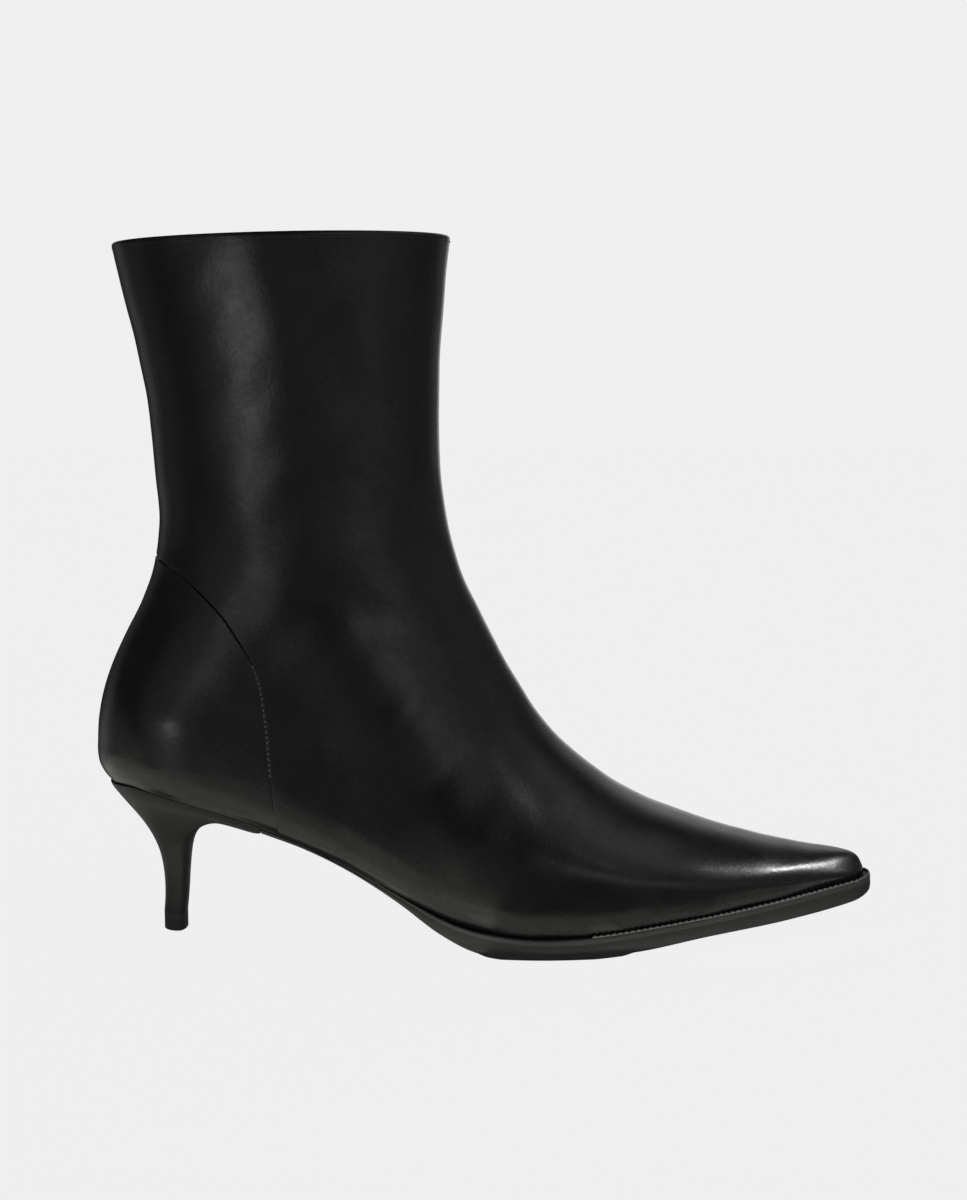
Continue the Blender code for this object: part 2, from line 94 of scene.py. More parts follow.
# Girths of the upper from the feather line to the collar.
GIRTH_COLUMNS = (
    "front_along", "front_rise", "back_along", "back_rise", "sag", "nose", "heel", "bulge", "leg", "calf")
GIRTHS = {
    "feather": (0.9917, 0.000, 0.0187, 0.000, 1.00, 0.027, 0.145, 0.0, 0.00, 0.41),
    "toe tip": (0.9884, 0.042, 0.0090, 0.019, 0.97, 0.050, 0.145, 1.4, 0.00, 0.41),
    "toe crown": (0.9727, 0.094, 0.0041, 0.044, 0.93, 0.170, 0.146, 2.2, 0.00, 0.41),
    "toe": (0.9090, 0.127, 0.0037, 0.076, 0.85, 0.250, 0.150, 2.3, 0.00, 0.41),
    "vamp": (0.7966, 0.223, 0.0094, 0.142, 0.68, 0.380, 0.170, 2.2, 0.03, 0.41),
    "ball": (0.6768, 0.388, 0.0221, 0.207, 0.48, 0.470, 0.216, 1.8, 0.15, 0.41),
    "low instep": (0.5794, 0.667, 0.0476, 0.286, 0.28, 0.474, 0.293, 1.0, 0.45, 0.42),
    "instep": (0.5176, 1.000, 0.0738, 0.368, 0.12, 0.480, 0.380, 0.0, 0.80, 0.42),
    "throat": (0.4689, 1.193, 0.0854, 0.469, 0.03, 0.500, 0.480, 0.0, 1.00, 0.413),
    "ankle": (0.4446, 1.393, 0.0835, 0.546, 0.00, 0.500, 0.500, 0.0, 1.00, 0.408),
    "shaft": (0.4412, 1.637, 0.0730, 0.723, 0.00, 0.500, 0.500, 0.0, 1.00, 0.421),
    "cuff": (0.4476, 1.866, 0.0468, 0.895, 0.00, 0.500, 0.500, 0.0, 1.00, 0.447),
    "collar": (0.4558, 2.000, 0.0333, 0.985, 0.00, 0.500, 0.500, 0.0, 1.00, 0.464),
}
TOP = len(GIRTHS) - 1

# Swell of the upper over the waist of the sole: share of the length, then how many times its bulge the outer
# and the inner side stand out.
SWELL = (
    (0.000, 1.0, 1.0),
    (0.100, 1.2, 1.2),
    (0.200, 1.9, 1.5),
    (0.290, 2.7, 1.8),
    (0.370, 2.7, 1.8),
    (0.450, 2.0, 1.5),
    (0.530, 1.3, 1.1),
    (0.620, 1.0, 1.0),
    (1.000, 1.0, 1.0),
)

# Front edge of the heel counter from the side: share of the length, share of the collar height.
COUNTER_SEAM = (
    (0.000, 0.578),
    (0.098, 0.543),
    (0.148, 0.506),
    (0.175, 0.478),
    (0.194, 0.449),
    (0.216, 0.408),
    (0.224, 0.380),
    (0.230, 0.337),
    (0.237, 0.250),
    (0.247, 0.140),
)

# Outsole: share of the length, millimetres out from the feather line, height of the underside as a share of
# the heel height.
OUTSOLE = (
    (0.221, -0.3, 0.753),
    (0.272, -0.8, 0.653),
    (0.332, -0.6, 0.508),
    (0.392, 0.3, 0.326),
    (0.445, 1.4, 0.143),
    (0.482, 2.0, 0.055),
    (0.519, 2.3, 0.022),
    (0.632, 2.3, 0.022),
    (0.692, 2.3, 0.045),
    (0.767, 2.3, 0.094),
    (0.887, 2.3, 0.153),
    (0.940, 2.3, 0.191),
    (0.970, 2.3, 0.221),
    (1.000, 2.3, 0.262),
)

# Thickness of the welt: share of the length, millimetres.
WELT = (
    (0.300, 0.5),
    (0.376, 0.5),
    (0.457, 1.3),
    (0.538, 1.5),
    (1.000, 1.5),
)

# Heel block from the seat down.
HEEL_COLUMNS = ("back_along", "back_rise", "front_along", "front_rise", "seat", "nose", "heel", "width")
HEEL_SECTIONS = {
    "seat": (0.0160, 1.013, 0.2210, 0.806, 1.00, 0.004, 0.69, 28.0),
    "edge": (0.0175, 0.985, 0.2210, 0.751, 0.97, 0.004, 0.69, 27.0),
    "lip": (0.0254, 0.936, 0.1955, 0.785, 0.70, 0.020, 0.68, 22.5),
    "flare": (0.0374, 0.862, 0.1735, 0.800, 0.42, 0.080, 0.68, 18.8),
    "throat": (0.0513, 0.774, 0.1520, 0.757, 0.20, 0.160, 0.68, 14.6),
    "neck": (0.0627, 0.685, 0.1300, 0.687, 0.07, 0.220, 0.70, 11.2),
    "stem": (0.0715, 0.594, 0.1204, 0.604, 0.00, 0.260, 0.70, 8.6),
    "shin": (0.0779, 0.500, 0.1170, 0.500, 0.00, 0.280, 0.70, 7.0),
    "waist": (0.0817, 0.377, 0.1147, 0.377, 0.00, 0.280, 0.70, 6.0),
    "ankle": (0.0824, 0.245, 0.1131, 0.245, 0.00, 0.280, 0.70, 5.5),
    "foot": (0.0805, 0.123, 0.1104, 0.123, 0.00, 0.280, 0.70, 5.5),
}

# Camera: place and aim in metres, lens and sensor height in millimetres.
CAMERA_PLACE = (-0.0008, -0.600, 0.1858)
CAMERA_AIM = (-0.0008, 0.0, 0.1148)
CAMERA_LENS = 53.04
CAMERA_SENSOR = 36.0


def smooth(rows, column, at):
    """Values of a table's column on a smooth curve through its rows, carried on straight past its ends."""
    table = np.asarray(rows, dtype=float)
    places = table[:, 0]
    values = table[:, column]
    steps = np.diff(places)
    climbs = np.diff(values) / steps
    slopes = np.empty(len(places))
    slopes[0] = climbs[0]
    slopes[-1] = climbs[-1]
    slopes[1:-1] = (climbs[:-1] * steps[1:] + climbs[1:] * steps[:-1]) / (steps[:-1] + steps[1:])
    at = np.asarray(at, dtype=float)
    held = np.clip(at, places[0], places[-1])
    row = np.clip(np.searchsorted(places, held) - 1, 0, len(steps) - 1)
    u = (held - places[row]) / steps[row]
    rise = values[row + 1] - values[row]
    lead = slopes[row] * steps[row] - rise
    tail = rise - slopes[row + 1] * steps[row]
    inside = values[row] + rise * u + u * (1 - u) * (lead * (1 - u) + tail * u)
    before = slopes[0] * np.minimum(at - places[0], 0.0)
    after = slopes[-1] * np.maximum(at - places[-1], 0.0)
    return inside + before + after


def section_at(sections, columns, level):
    """Named values of a table of sections at levels, between whole numbers for in-between sections."""
    rows = [(number,) + values for number, values in enumerate(sections.values())]
    return {name: smooth(rows, index + 1, level) for index, name in enumerate(columns)}


def along_to_x(along):
    """Millimetres from the middle of the boot for a share of its length."""
    return (along - MIDDLE) * LENGTH


def x_to_along(x):
    """Share of the length for a place in millimetres."""
    return x / LENGTH + MIDDLE


FEATHER_GIRTH = dict(zip(GIRTH_COLUMNS, GIRTHS["feather"]))
FEATHER_FRONT = along_to_x(FEATHER_GIRTH["front_along"])
FEATHER_BACK = along_to_x(FEATHER_GIRTH["back_along"])


def mix(low, high, share):
    """Value part of the way from low to high."""
    return low + (high - low) * share


def fade(low, high, value):
    """Soft step from 0 at low to 1 at high."""
    u = np.clip((value - low) / (high - low), 0.0, 1.0)
    return u * u * (3.0 - 2.0 * u)


def rounding(depth, reach):
    """Share of the full width at a depth behind an end that rounds in over a reach."""
    gone = 1.0 - np.clip(np.maximum(depth, 0.0) / reach, 0.0, 1.0)
    return np.sqrt(np.maximum(1.0 - gone * gone, 0.0))


def spread(count):
    """Shares from 0 to 1 that crowd at both ends."""
    return 0.5 - 0.5 * np.cos(np.pi * np.arange(count + 1) / count)


def feather_height(x):
    """Height of the feather line."""
    return HEEL_HEIGHT * smooth(FEATHER, 1, x_to_along(x))


def by_side(rows, x, side):
    """Value of a table with a column for the outer side, where side is -1, and one for the inner side."""
    along = x_to_along(x)
    return np.where(np.asarray(side) < 0, smooth(rows, 1, along), smooth(rows, 2, along))


def full_half_width(x, side):
    """Half width of the foot's plan before its ends are rounded."""
    return BALL_WIDTH * by_side(PLAN, x, side)


def plan_half_width(x, side, out):
    """Half width of the feather line from above, moved out by a number of millimetres."""
    length = FEATHER_FRONT - FEATHER_BACK
    nose = FEATHER_GIRTH["nose"] * length
    heel = FEATHER_GIRTH["heel"] * length
    full = np.maximum(full_half_width(x, side) + out, FIT)
    return full * rounding(FEATHER_FRONT + out - x, nose) * rounding(x - FEATHER_BACK + out, heel)


def front_height(rise):
    """Height of a point of the front ridge from its rise."""
    low = mix(feather_height(FEATHER_FRONT), INSTEP_HEIGHT, rise)
    return np.where(rise <= 1.0, low, mix(INSTEP_HEIGHT, COLLAR_HEIGHT, rise - 1.0))


def feather_dip(share):
    """How far the feather line lies below the straight line between its ends."""
    straight = mix(feather_height(FEATHER_BACK), feather_height(FEATHER_FRONT), share)
    return feather_height(mix(FEATHER_BACK, FEATHER_FRONT, share)) - straight


def girth_point(level, share, side):
    """Points of the upper's outer face at levels and shares of the way from back to front."""
    girth = section_at(GIRTHS, GIRTH_COLUMNS, level)
    x = mix(along_to_x(girth["back_along"]), along_to_x(girth["front_along"]), share)
    back_z = mix(feather_height(FEATHER_BACK), COLLAR_HEIGHT, girth["back_rise"])
    z = mix(back_z, front_height(girth["front_rise"]), share) + girth["sag"] * feather_dip(share)
    foot = full_half_width(x, side) + girth["bulge"] * by_side(SWELL, x, side)
    half = mix(foot, BALL_WIDTH * girth["calf"], np.clip(girth["leg"], 0.0, 1.0))
    y = side * half * rounding(1.0 - share, girth["nose"]) * rounding(share, girth["heel"])
    return np.stack(np.broadcast_arrays(x, y, z), axis=-1)


# Softening between neighbouring sections: steps in levels and weights, levels over which it fades out at the
# upper's ends, and how much longer the heel's steps are.
SOFTENING = ((-0.36, 1.0), (-0.18, 2.0), (0.0, 3.0), (0.18, 2.0), (0.36, 1.0))
SOFT_TOTAL = sum(weight for step, weight in SOFTENING)
SOFT_ENDS = 1.5
HEEL_SOFTENING = 2.0


def skin(level, share, side):
    """The upper's outer face, evened out between neighbouring girths so that light runs over it smoothly."""
    level = np.asarray(level, dtype=float)
    room = np.clip(np.minimum(level / SOFT_ENDS, (TOP - level) / SOFT_ENDS), 0.0, 1.0)
    return sum(
        girth_point(level + step * room, share, side) * (weight / SOFT_TOTAL) for step, weight in SOFTENING)


def seam_x(z):
    """Where the front edge of the counter lies at a height."""
    rows = [(share * COLLAR_HEIGHT, along) for along, share in reversed(COUNTER_SEAM)]
    return along_to_x(smooth(rows, 1, z))


# How far round from the back the counter's edge is looked for, as a share, and the number of tries.
SEAM_SEARCH = (0.6, 601)


def seam_share(levels, side):
    """Share of the way round at which each girth crosses the counter's front edge, 0 above the counter."""
    tries = np.linspace(0.0, *SEAM_SEARCH)
    points = skin(levels[:, None], tries[None, :], side)
    ahead = points[..., 0] - seam_x(points[..., 2])
    first = np.argmax(ahead > 0.0, axis=1)
    rows = np.arange(len(levels))
    before = np.maximum(first - 1, 0)
    low = ahead[rows, before]
    high = ahead[rows, first]
    part = np.where(first > 0, -low / np.where(high - low == 0.0, 1.0, high - low), 0.0)
    return np.where(first > 0, tries[before] + part * (tries[1] - tries[0]), 0.0)


def grid_normals(points):
    """Unit normals of a grid of points, from the differences along its rows and columns."""
    along = np.gradient(points, axis=1)
    up = np.gradient(points, axis=0)
    normals = np.cross(along, up)
    length = np.linalg.norm(normals, axis=-1, keepdims=True)
    return normals / np.where(length == 0.0, 1.0, length)


def out_and_back(outer, inner):
    """Joins two sides that share their last point: out along the outer one and back along the inner one."""
    return np.concatenate([outer, inner[..., -2::-1, :]], axis=-2)


def add_object(name, data):
    """Object with its data, linked into the scene."""
    item = bpy.data.objects.new(name, data)
    bpy.context.scene.collection.objects.link(item)
    return item


def mesh_piece(name, points, faces):
    """Smooth mesh object from points in millimetres."""
    mesh = bpy.data.meshes.new(name)
    mesh.from_pydata((np.asarray(points).reshape(-1, 3) * MM).tolist(), [], faces)
    mesh.validate()
    mesh.shade_smooth()
    return add_object(name, mesh)


def grid_mesh(name, points, wrap=False, flip=False, close_ends=False):
    """Mesh object from a grid of points in millimetres, with faces between neighbours."""
    rows, columns = points.shape[:2]
    index = np.arange(rows * columns).reshape(rows, columns)
    if wrap:
        index = np.concatenate([index, index[:, :1]], axis=1)
    a, b, c, d = index[:-1, :-1], index[:-1, 1:], index[1:, 1:], index[1:, :-1]
    order = (d, c, b, a) if flip else (a, b, c, d)
    faces = np.stack(order, axis=-1).reshape(-1, 4).tolist()
    if close_ends:
        faces.append(index[0, :columns][:: 1 if flip else -1].tolist())
        faces.append(index[-1, :columns][:: -1 if flip else 1].tolist())
    return mesh_piece(name, points, faces)


# Distances in metres within which points are joined, on the pieces and on the fine threads.
WELD = 0.00002
THREAD_WELD = 0.0000001


def weld(piece, distance=WELD):
    """Joins points of a piece that lie together."""
    form = bmesh.new()
    form.from_mesh(piece.data)
    bmesh.ops.remove_doubles(form, verts=form.verts, dist=distance)
    bmesh.ops.recalc_face_normals(form, faces=form.faces)
    form.to_mesh(piece.data)
    form.free()
    piece.data.shade_smooth()
    return piece


# Rows of the upper between one girth and the next, and columns of each of its sides.
QUARTER_STEPS = (8, 8, 10, 16, 18, 20, 20, 16, 16, 22, 22, 14)
QUARTER_COLUMNS = 130

# Counter's seam, in millimetres. The lift starts and is full at heights from the seam's top.
SEAM_LIFT = 1.1
SEAM_BLEND = 18.0
LIFT_START = 6.0
LIFT_FULL = -14.0
EDGE_ROLL = 0.5
SEAM_SINK = 0.25
SEAM_FOOT = 30.0
SEAM_POINTS = 90

# Depth of the seam's groove as a share at the sole, the stitches and the top, and heights where it changes.
GROOVE_DEPTHS = (0.12, 0.35, 1.0)
GROOVE_AT_SOLE = (56.0, 68.0)
GROOVE_AT_TOP = (92.0, 104.0)

# Levels between which the seam's top is looked for along the back, and the number of tries.
BACK_LEVELS = (5.0, 10.0)
BACK_TRIES = 400

# Collar, in millimetres: start and depth of the facing inside it, rise of its roll over the wall's end.
FACING_START = 1.0
FACING_DEPTH = 16.0
COLLAR_RISE = 0.15
COLLAR_STEPS = 8

# Lower edge, in millimetres: how far it turns in, and how far it flares out ahead of the ball and behind it.
TUCK_DEPTH = 1.0
TUCK_BACK = 0.75
TUCK_CURVE = 1.3
EDGE_FLARE = (0.5, 1.0)
EDGE_RUN = 5.0
FLARE_BACK = 0.6
FLARE_CURVE = 1.5

# Stretches along the boot, in millimetres, over which the lower edge changes.
TUCK_AT_BACK = (-130.0, -112.0)
TUCK_AT_BALL = (18.0, -18.0)
FLARE_AT_BACK = (-126.0, -108.0)
FLARE_AT_BALL = (20.0, -20.0)
FLARE_AT_TOE = (122.0, 95.0)

# Rows that turn the leather in, as inset and drop, and where they start to follow the boot's ends.
TURNED_IN = ((4.0, 0.3), (1.5, 0.3), (0.35, 0.2))
END_START = 110.0
END_LENGTH = 20.0

# Band along the lower edge where the leather turns in: place along the boot and height, in millimetres.
TUCK = (
    (-130.0, 7.0),
    (-118.0, 8.5),
    (-100.0, 12.0),
    (-72.0, 17.0),
    (-40.0, 15.0),
    (0.0, 11.0),
    (30.0, 9.0),
)


def quarter_levels():
    """Levels of the quarter's rows from the feather line to the collar."""
    levels = []
    for low, count in enumerate(QUARTER_STEPS):
        levels += [low + step / count for step in range(count)]
    return np.array(levels + [TOP], dtype=float)


def off_line(points, start, end):
    """Distance of points from a line between two places, seen from the side, and their share along it."""
    x = points[..., 0] - start[0]
    z = points[..., 2] - start[1]
    ahead = end[0] - start[0]
    up = end[1] - start[1]
    u = np.clip((x * ahead + z * up) / (ahead ** 2 + up ** 2), 0.0, 1.0)
    return np.hypot(x - u * ahead, z - u * up), u


def seam_distance(points):
    """Millimetres from the counter's front edge, seen from the side."""
    heights = np.linspace(SEAM_FOOT, COUNTER_SEAM[0][1] * COLLAR_HEIGHT, SEAM_POINTS)
    places = np.stack([seam_x(heights), heights], axis=-1)
    nearest = np.full(points.shape[:-1], np.inf)
    for start, end in zip(places, places[1:]):
        nearest = np.minimum(nearest, off_line(points, start, end)[0])
    return nearest


def soft_line(points, line, width):
    """Soft ridge along places seen from the side, each with its share of the height."""
    total = np.zeros(points.shape[:-1])
    for start, end in zip(line, line[1:]):
        away, u = off_line(points, start, end)
        total = np.maximum(total, mix(start[2], end[2], u) * np.exp(-((away / width) ** 2)))
    return total


# Soft folds of the leather from the side: places in millimetres with a share of the height, width, height.
TOE_SHOULDER = (
    ((50.0, 28.8, 0.0), (68.0, 28.0, 0.4), (86.0, 27.0, 1.0), (105.0, 26.2, 1.0), (126.0, 25.2, 0.5)),
    4.2, 0.7)
HEEL_CUSHION = (((-113.0, 78.0, 1.0), (-104.0, 76.0, 1.0)), 10.5, 0.9)
HEEL_HOLLOW = (
    ((-110.0, 122.0, 0.0), (-94.0, 120.0, 1.0), (-80.0, 116.0, 1.0), (-64.0, 111.0, 0.6),
     (-44.0, 106.0, 0.0)),
    21.0, -1.5)
HEEL_BACK = (((-130.0, 75.0, 0.4), (-129.0, 67.0, 1.1), (-128.0, 60.0, 0.7)), 6.0, -0.45)
SHAFT_BACK = (
    ((-117.0, 220.0, 0.5), (-112.0, 195.0, 0.4), (-107.0, 165.0, 0.6), (-108.0, 150.0, 0.2),
     (-111.0, 135.0, 1.2), (-116.0, 121.0, 1.2), (-121.0, 110.0, 0.4), (-126.0, 103.0, 0.0)),
    10.0, 0.45)
SHARED_FOLDS = (TOE_SHOULDER, HEEL_CUSHION, HEEL_HOLLOW, HEEL_BACK, SHAFT_BACK)
INSTEP_RIDGE = (
    ((-70.0, 127.0, 0.0), (-60.0, 114.0, 0.3), (-51.0, 104.0, 0.85), (-30.0, 81.0, 1.0), (-12.0, 63.0, 0.1)),
    14.0, 2.1)
ANKLE_CREASE = (
    ((-104.0, 133.0, 0.0), (-92.0, 131.0, 0.4), (-75.0, 127.0, 0.4), (-60.0, 123.0, 0.5),
     (-48.0, 118.0, 0.9), (-35.0, 112.0, 1.3), (-20.0, 105.0, 1.1), (-8.0, 100.0, 0.0)),
    8.0, -0.7)
OUTER_FOLDS = (
    INSTEP_RIDGE,
    ANKLE_CREASE,
    (((-76.0, 116.0, 0.0), (-62.0, 98.0, 0.8), (-48.0, 80.0, 1.0), (-28.0, 58.0, 0.2)), 14.0, 0.25),
    (((-47.0, 159.5, 0.0), (-40.0, 157.0, 1.0), (-30.0, 154.0, 0.4)), 2.6, -0.16),
    (((-46.0, 163.5, 0.0), (-37.0, 161.0, 1.0), (-28.0, 158.0, 0.4)), 3.6, 0.12),
    *SHARED_FOLDS,
)
INNER_FOLDS = (
    (((-56.0, 112.0, 0.0), (-44.0, 102.0, 1.0), (-26.0, 84.0, 1.0), (-12.0, 66.0, 0.2)), 10.0, 0.40),
    (((-70.0, 103.0, 0.0), (-58.0, 90.0, 1.0), (-46.0, 78.0, 1.0), (-30.0, 60.0, 0.3)), 9.0, -0.40),
    (((-62.0, 153.0, 0.0), (-50.0, 150.0, 1.0), (-34.0, 147.0, 0.3)), 3.5, -0.15),
    *SHARED_FOLDS,
)

# Half width of the stretch, in millimetres, over which the outer folds give way to the inner ones.
SIDE_BLEND = 6.0

# Slow unevenness of the leather: waves over x, y and z in turns per metre, phase, height in millimetres.
WAVES = (
    ((31.0, 7.0, 12.0), 0.4, 0.07),
    ((-17.0, 11.0, 26.0), 1.9, 0.07),
    ((44.0, -9.0, 21.0), 3.1, 0.045),
    ((-38.0, 15.0, 47.0), 5.0, 0.035),
    ((66.0, 20.0, -33.0), 2.2, 0.025),
)


def relief(points):
    """How far the leather stands off its even form, in millimetres."""
    outer = fade(SIDE_BLEND, -SIDE_BLEND, points[..., 1])
    total = np.zeros(points.shape[:-1])
    for folds, share in ((OUTER_FOLDS, outer), (INNER_FOLDS, 1.0 - outer)):
        for line, width, height in folds:
            total += share * height * soft_line(points, line, width)
    for turns, phase, height in WAVES:
        turn = points @ (np.array(turns) * MM * 2.0 * np.pi)
        total += height * np.sin(turn + phase)
    return total


def tuck(points):
    """How far the leather turns in towards the sole behind the ball, eased off along the edge itself."""
    x = points[..., 0]
    above = points[..., 2] - feather_height(x)
    turn = np.clip(1.0 - above / smooth(TUCK, 1, x), 0.0, 1.0) ** TUCK_CURVE
    depth = TUCK_DEPTH * mix(TUCK_BACK, 1.0, fade(*TUCK_AT_BACK, x)) * fade(*TUCK_AT_BALL, x)
    flare = mix(*EDGE_FLARE, fade(*FLARE_AT_BALL, x)) * mix(FLARE_BACK, 1.0, fade(*FLARE_AT_BACK, x))
    flare = flare * fade(*FLARE_AT_TOE, x)
    return depth * turn - flare * np.clip(1.0 - above / EDGE_RUN, 0.0, 1.0) ** FLARE_CURVE


def groove(points):
    """Depth of the counter's seam as a share: open along the top, pulled shut where it is stitched."""
    z = points[..., 2]
    at_sole, at_stitches, at_top = GROOVE_DEPTHS
    shut = mix(at_sole, at_stitches, fade(*GROOVE_AT_SOLE, z))
    return mix(shut, at_top, fade(*GROOVE_AT_TOP, z))


def make_quarters():
    """Vamp and shaft: one skin round the toe, lifted at the counter's edge and rolled in at the collar."""
    levels = quarter_levels()
    shares = spread(QUARTER_COLUMNS)
    halves = []
    gaps = []
    for side in (-1, 1):
        start = seam_share(levels, side)
        share = start[:, None] + (1.0 - start[:, None]) * shares[None, :]
        halves.append(skin(levels[:, None], share, side))
        gaps.append(start > 0.0)
    points = out_and_back(*halves)
    normals = grid_normals(points)
    closed = ~(gaps[0] & gaps[1])
    back = normals[closed, 0] + normals[closed, -1]
    back /= np.linalg.norm(back, axis=-1, keepdims=True)
    normals[closed, 0] = back
    normals[closed, -1] = back
    edge = seam_distance(points)
    lifted = SEAM_LIFT * np.exp(-((edge / SEAM_BLEND) ** 2))
    seam_top = seam_end_height()
    beside = fade(seam_top + LIFT_START, seam_top + LIFT_FULL, points[..., 2])
    height = relief(points) + lifted * beside
    rolled = 1.0 - rounding(edge, EDGE_ROLL)
    height = np.where(gaps[0][:, None], height - (SEAM_LIFT + SEAM_SINK) * rolled * groove(points), height)
    points = points + normals * (height - tuck(points))[..., None]
    rows = tucked_rows(points[0]) + list(points) + collar_rows(points, normals)
    return weld(grid_mesh("quarters", np.array(rows)))


def seam_end_height():
    """Height at which the counter's edges meet at the back."""
    levels = np.linspace(*BACK_LEVELS, BACK_TRIES)
    back = skin(levels, 0.0, -1)
    ahead = back[:, 0] - seam_x(back[:, 2])
    return float(back[np.argmax(ahead > 0.0), 2])


def tucked_rows(edge):
    """Rows that turn the lower edge of a skin in under the foot."""
    rows = []
    for inset, drop in TURNED_IN:
        row = edge.copy()
        half = np.abs(row[:, 1])
        row[:, 1] = np.sign(row[:, 1]) * np.maximum(half - inset, 0.0)
        ahead = np.clip((row[:, 0] - END_START) / END_LENGTH, 0.0, 1.0)
        behind = np.clip((-END_START - row[:, 0]) / END_LENGTH, 0.0, 1.0)
        row[:, 0] += inset * (behind - ahead)
        row[:, 2] = np.minimum(row[:, 2], feather_height(row[:, 0])) - drop
        rows.append(row)
    return rows


def collar_rows(points, normals):
    """Rows that roll the collar over and carry it down inside as a facing."""
    radius = WALL / 2.0
    top = points[-1]
    out = normals[-1]
    up = points[-1] - points[-3]
    up /= np.linalg.norm(up, axis=-1, keepdims=True)
    points[-1] = top - up * (radius - COLLAR_RISE)
    middle = points[-1] - out * radius
    rows = []
    for step in range(1, COLLAR_STEPS + 1):
        turn = math.pi * step / COLLAR_STEPS
        rows.append(middle + radius * (out * math.cos(turn) + up * math.sin(turn)))
    below = np.mean(points[-1, :, 2]) - np.mean(points[:, :, 2], axis=1)
    for row in reversed(np.flatnonzero((below > FACING_START) & (below < FACING_DEPTH))):
        rows.append(points[row] - normals[row] * WALL)
    return rows


def full_ring(levels, columns):
    """Grid of the whole skin, from the back round the outer side to the front and home again."""
    shares = spread(columns)
    outer = skin(levels[:, None], shares[None, :], -1)
    inner = skin(levels[:, None], shares[None, :], 1)
    return np.concatenate([outer, inner[:, -2:0:-1]], axis=1)


def ring_normals(points):
    """Normals of a grid whose columns close on themselves."""
    wide = np.concatenate([points[:, -2:], points, points[:, :2]], axis=1)
    return grid_normals(wide)[:, 2:-2]


# Lining: end in levels below the collar, depth below the facing and behind it, step from the facing's end.
LINING_END = 0.35
LINING_ROWS = 90
LINING_COLUMNS = 60
LINING_DEPTHS = (WALL + 0.15, WALL - 0.5)
LINING_STEP = (-4.0, 2.0)


def make_lining():
    """Lining of the shaft and vamp, inside the wall."""
    levels = np.linspace(0.0, TOP - LINING_END, LINING_ROWS)
    points = full_ring(levels, LINING_COLUMNS)
    facing_end = COLLAR_HEIGHT - FACING_DEPTH
    behind = fade(facing_end + LINING_STEP[0], facing_end + LINING_STEP[1], points[..., 2])
    points = points - ring_normals(points) * mix(*LINING_DEPTHS, behind)[..., None]
    return grid_mesh("lining", points, wrap=True, flip=True)


# Counter, in millimetres, with its least share of the way round and its share of the thickness at the top.
COUNTER_ROWS = 120
COUNTER_COLUMNS = 70
COUNTER_LEAST = 0.0005
COUNTER_OUT = FIT + COUNTER_THICKNESS
COUNTER_TOP = 0.3
COUNTER_BAND = 8.0
COUNTER_FOOT = 0.35


def make_counter():
    """Heel counter: a stiff pocket over the heel, its edge rolled into the seam."""
    seam_top = seam_end_height()
    tries = np.linspace(*BACK_LEVELS, 2 * BACK_TRIES)
    top_level = float(np.interp(seam_top, skin(tries, 0.0, -1)[:, 2], tries))
    levels = top_level * np.sin(0.5 * np.pi * np.linspace(0.0, 1.0, COUNTER_ROWS))
    halves = []
    for side in (-1, 1):
        start = np.maximum(seam_share(levels, side), COUNTER_LEAST)
        share = start[:, None] * (1.0 - spread(COUNTER_COLUMNS)[None, :])
        halves.append(skin(levels[:, None], share, side))
    points = out_and_back(*halves)[:, ::-1]
    normals = grid_normals(points)
    edge = seam_distance(points)
    out = COUNTER_OUT * mix(COUNTER_TOP, 1.0, fade(seam_top, seam_top + LIFT_FULL, points[..., 2]))
    height = out - (out + SEAM_SINK) * (1.0 - rounding(edge, EDGE_ROLL)) * groove(points)
    height = height + relief(points)
    above = fade(0.0, COUNTER_BAND, points[..., 2] - feather_height(points[..., 0]))
    height = mix(np.minimum(height, COUNTER_FOOT), height, above)
    points = points + normals * (height - tuck(points))[..., None]
    rows = tucked_rows(points[0]) + list(points)
    return weld(grid_mesh("counter", np.array(rows)))


def toe_spread(count):
    """Shares from 0 to 1 that crowd at the front."""
    return 1.0 - (1.0 - np.arange(count + 1) / count) ** TOE_CROWDING


def plan_loop(shares, rear, reach, height):
    """Loop of the feather line from above, moved out by a reach and set at heights, out and back."""
    x = mix(rear, FEATHER_FRONT + reach(FEATHER_FRONT), np.asarray(shares))
    z = height(x)
    halves = [side * plan_half_width(x, side, reach(x)) for side in (-1, 1)]
    return out_and_back(*(np.stack([x, half, z], axis=-1) for half in halves))


def welt_thickness(x):
    """Thickness of the welt."""
    return smooth(WELT, 1, x_to_along(x))


def sole_reach(x):
    """How far the outsole's edge stands out from the feather line."""
    return smooth(OUTSOLE, 1, x_to_along(x))


def sole_underside(x):
    """Height of the outsole's underside, flat over the tread pad."""
    return np.maximum(HEEL_HEIGHT * smooth(OUTSOLE, 2, x_to_along(x)), PAD_THICKNESS + FIT)


def capped_grid(name, loops, caps, flip=False):
    """Welded grid of loops, with faces across some of them, between their two sides, which share x."""
    points = np.array(loops)
    columns = points.shape[1]
    piece = grid_mesh(name, points, flip=flip)
    form = bmesh.new()
    form.from_mesh(piece.data)
    form.verts.ensure_lookup_table()
    for cap in caps:
        start = cap * columns
        end = start + columns - 1
        for here in range(columns // 2):
            corners = list(dict.fromkeys([start + here, start + here + 1, end - here - 1, end - here]))
            if len(corners) > 2:
                form.faces.new([form.verts[corner] for corner in corners])
    form.to_mesh(piece.data)
    form.free()
    return weld(piece)


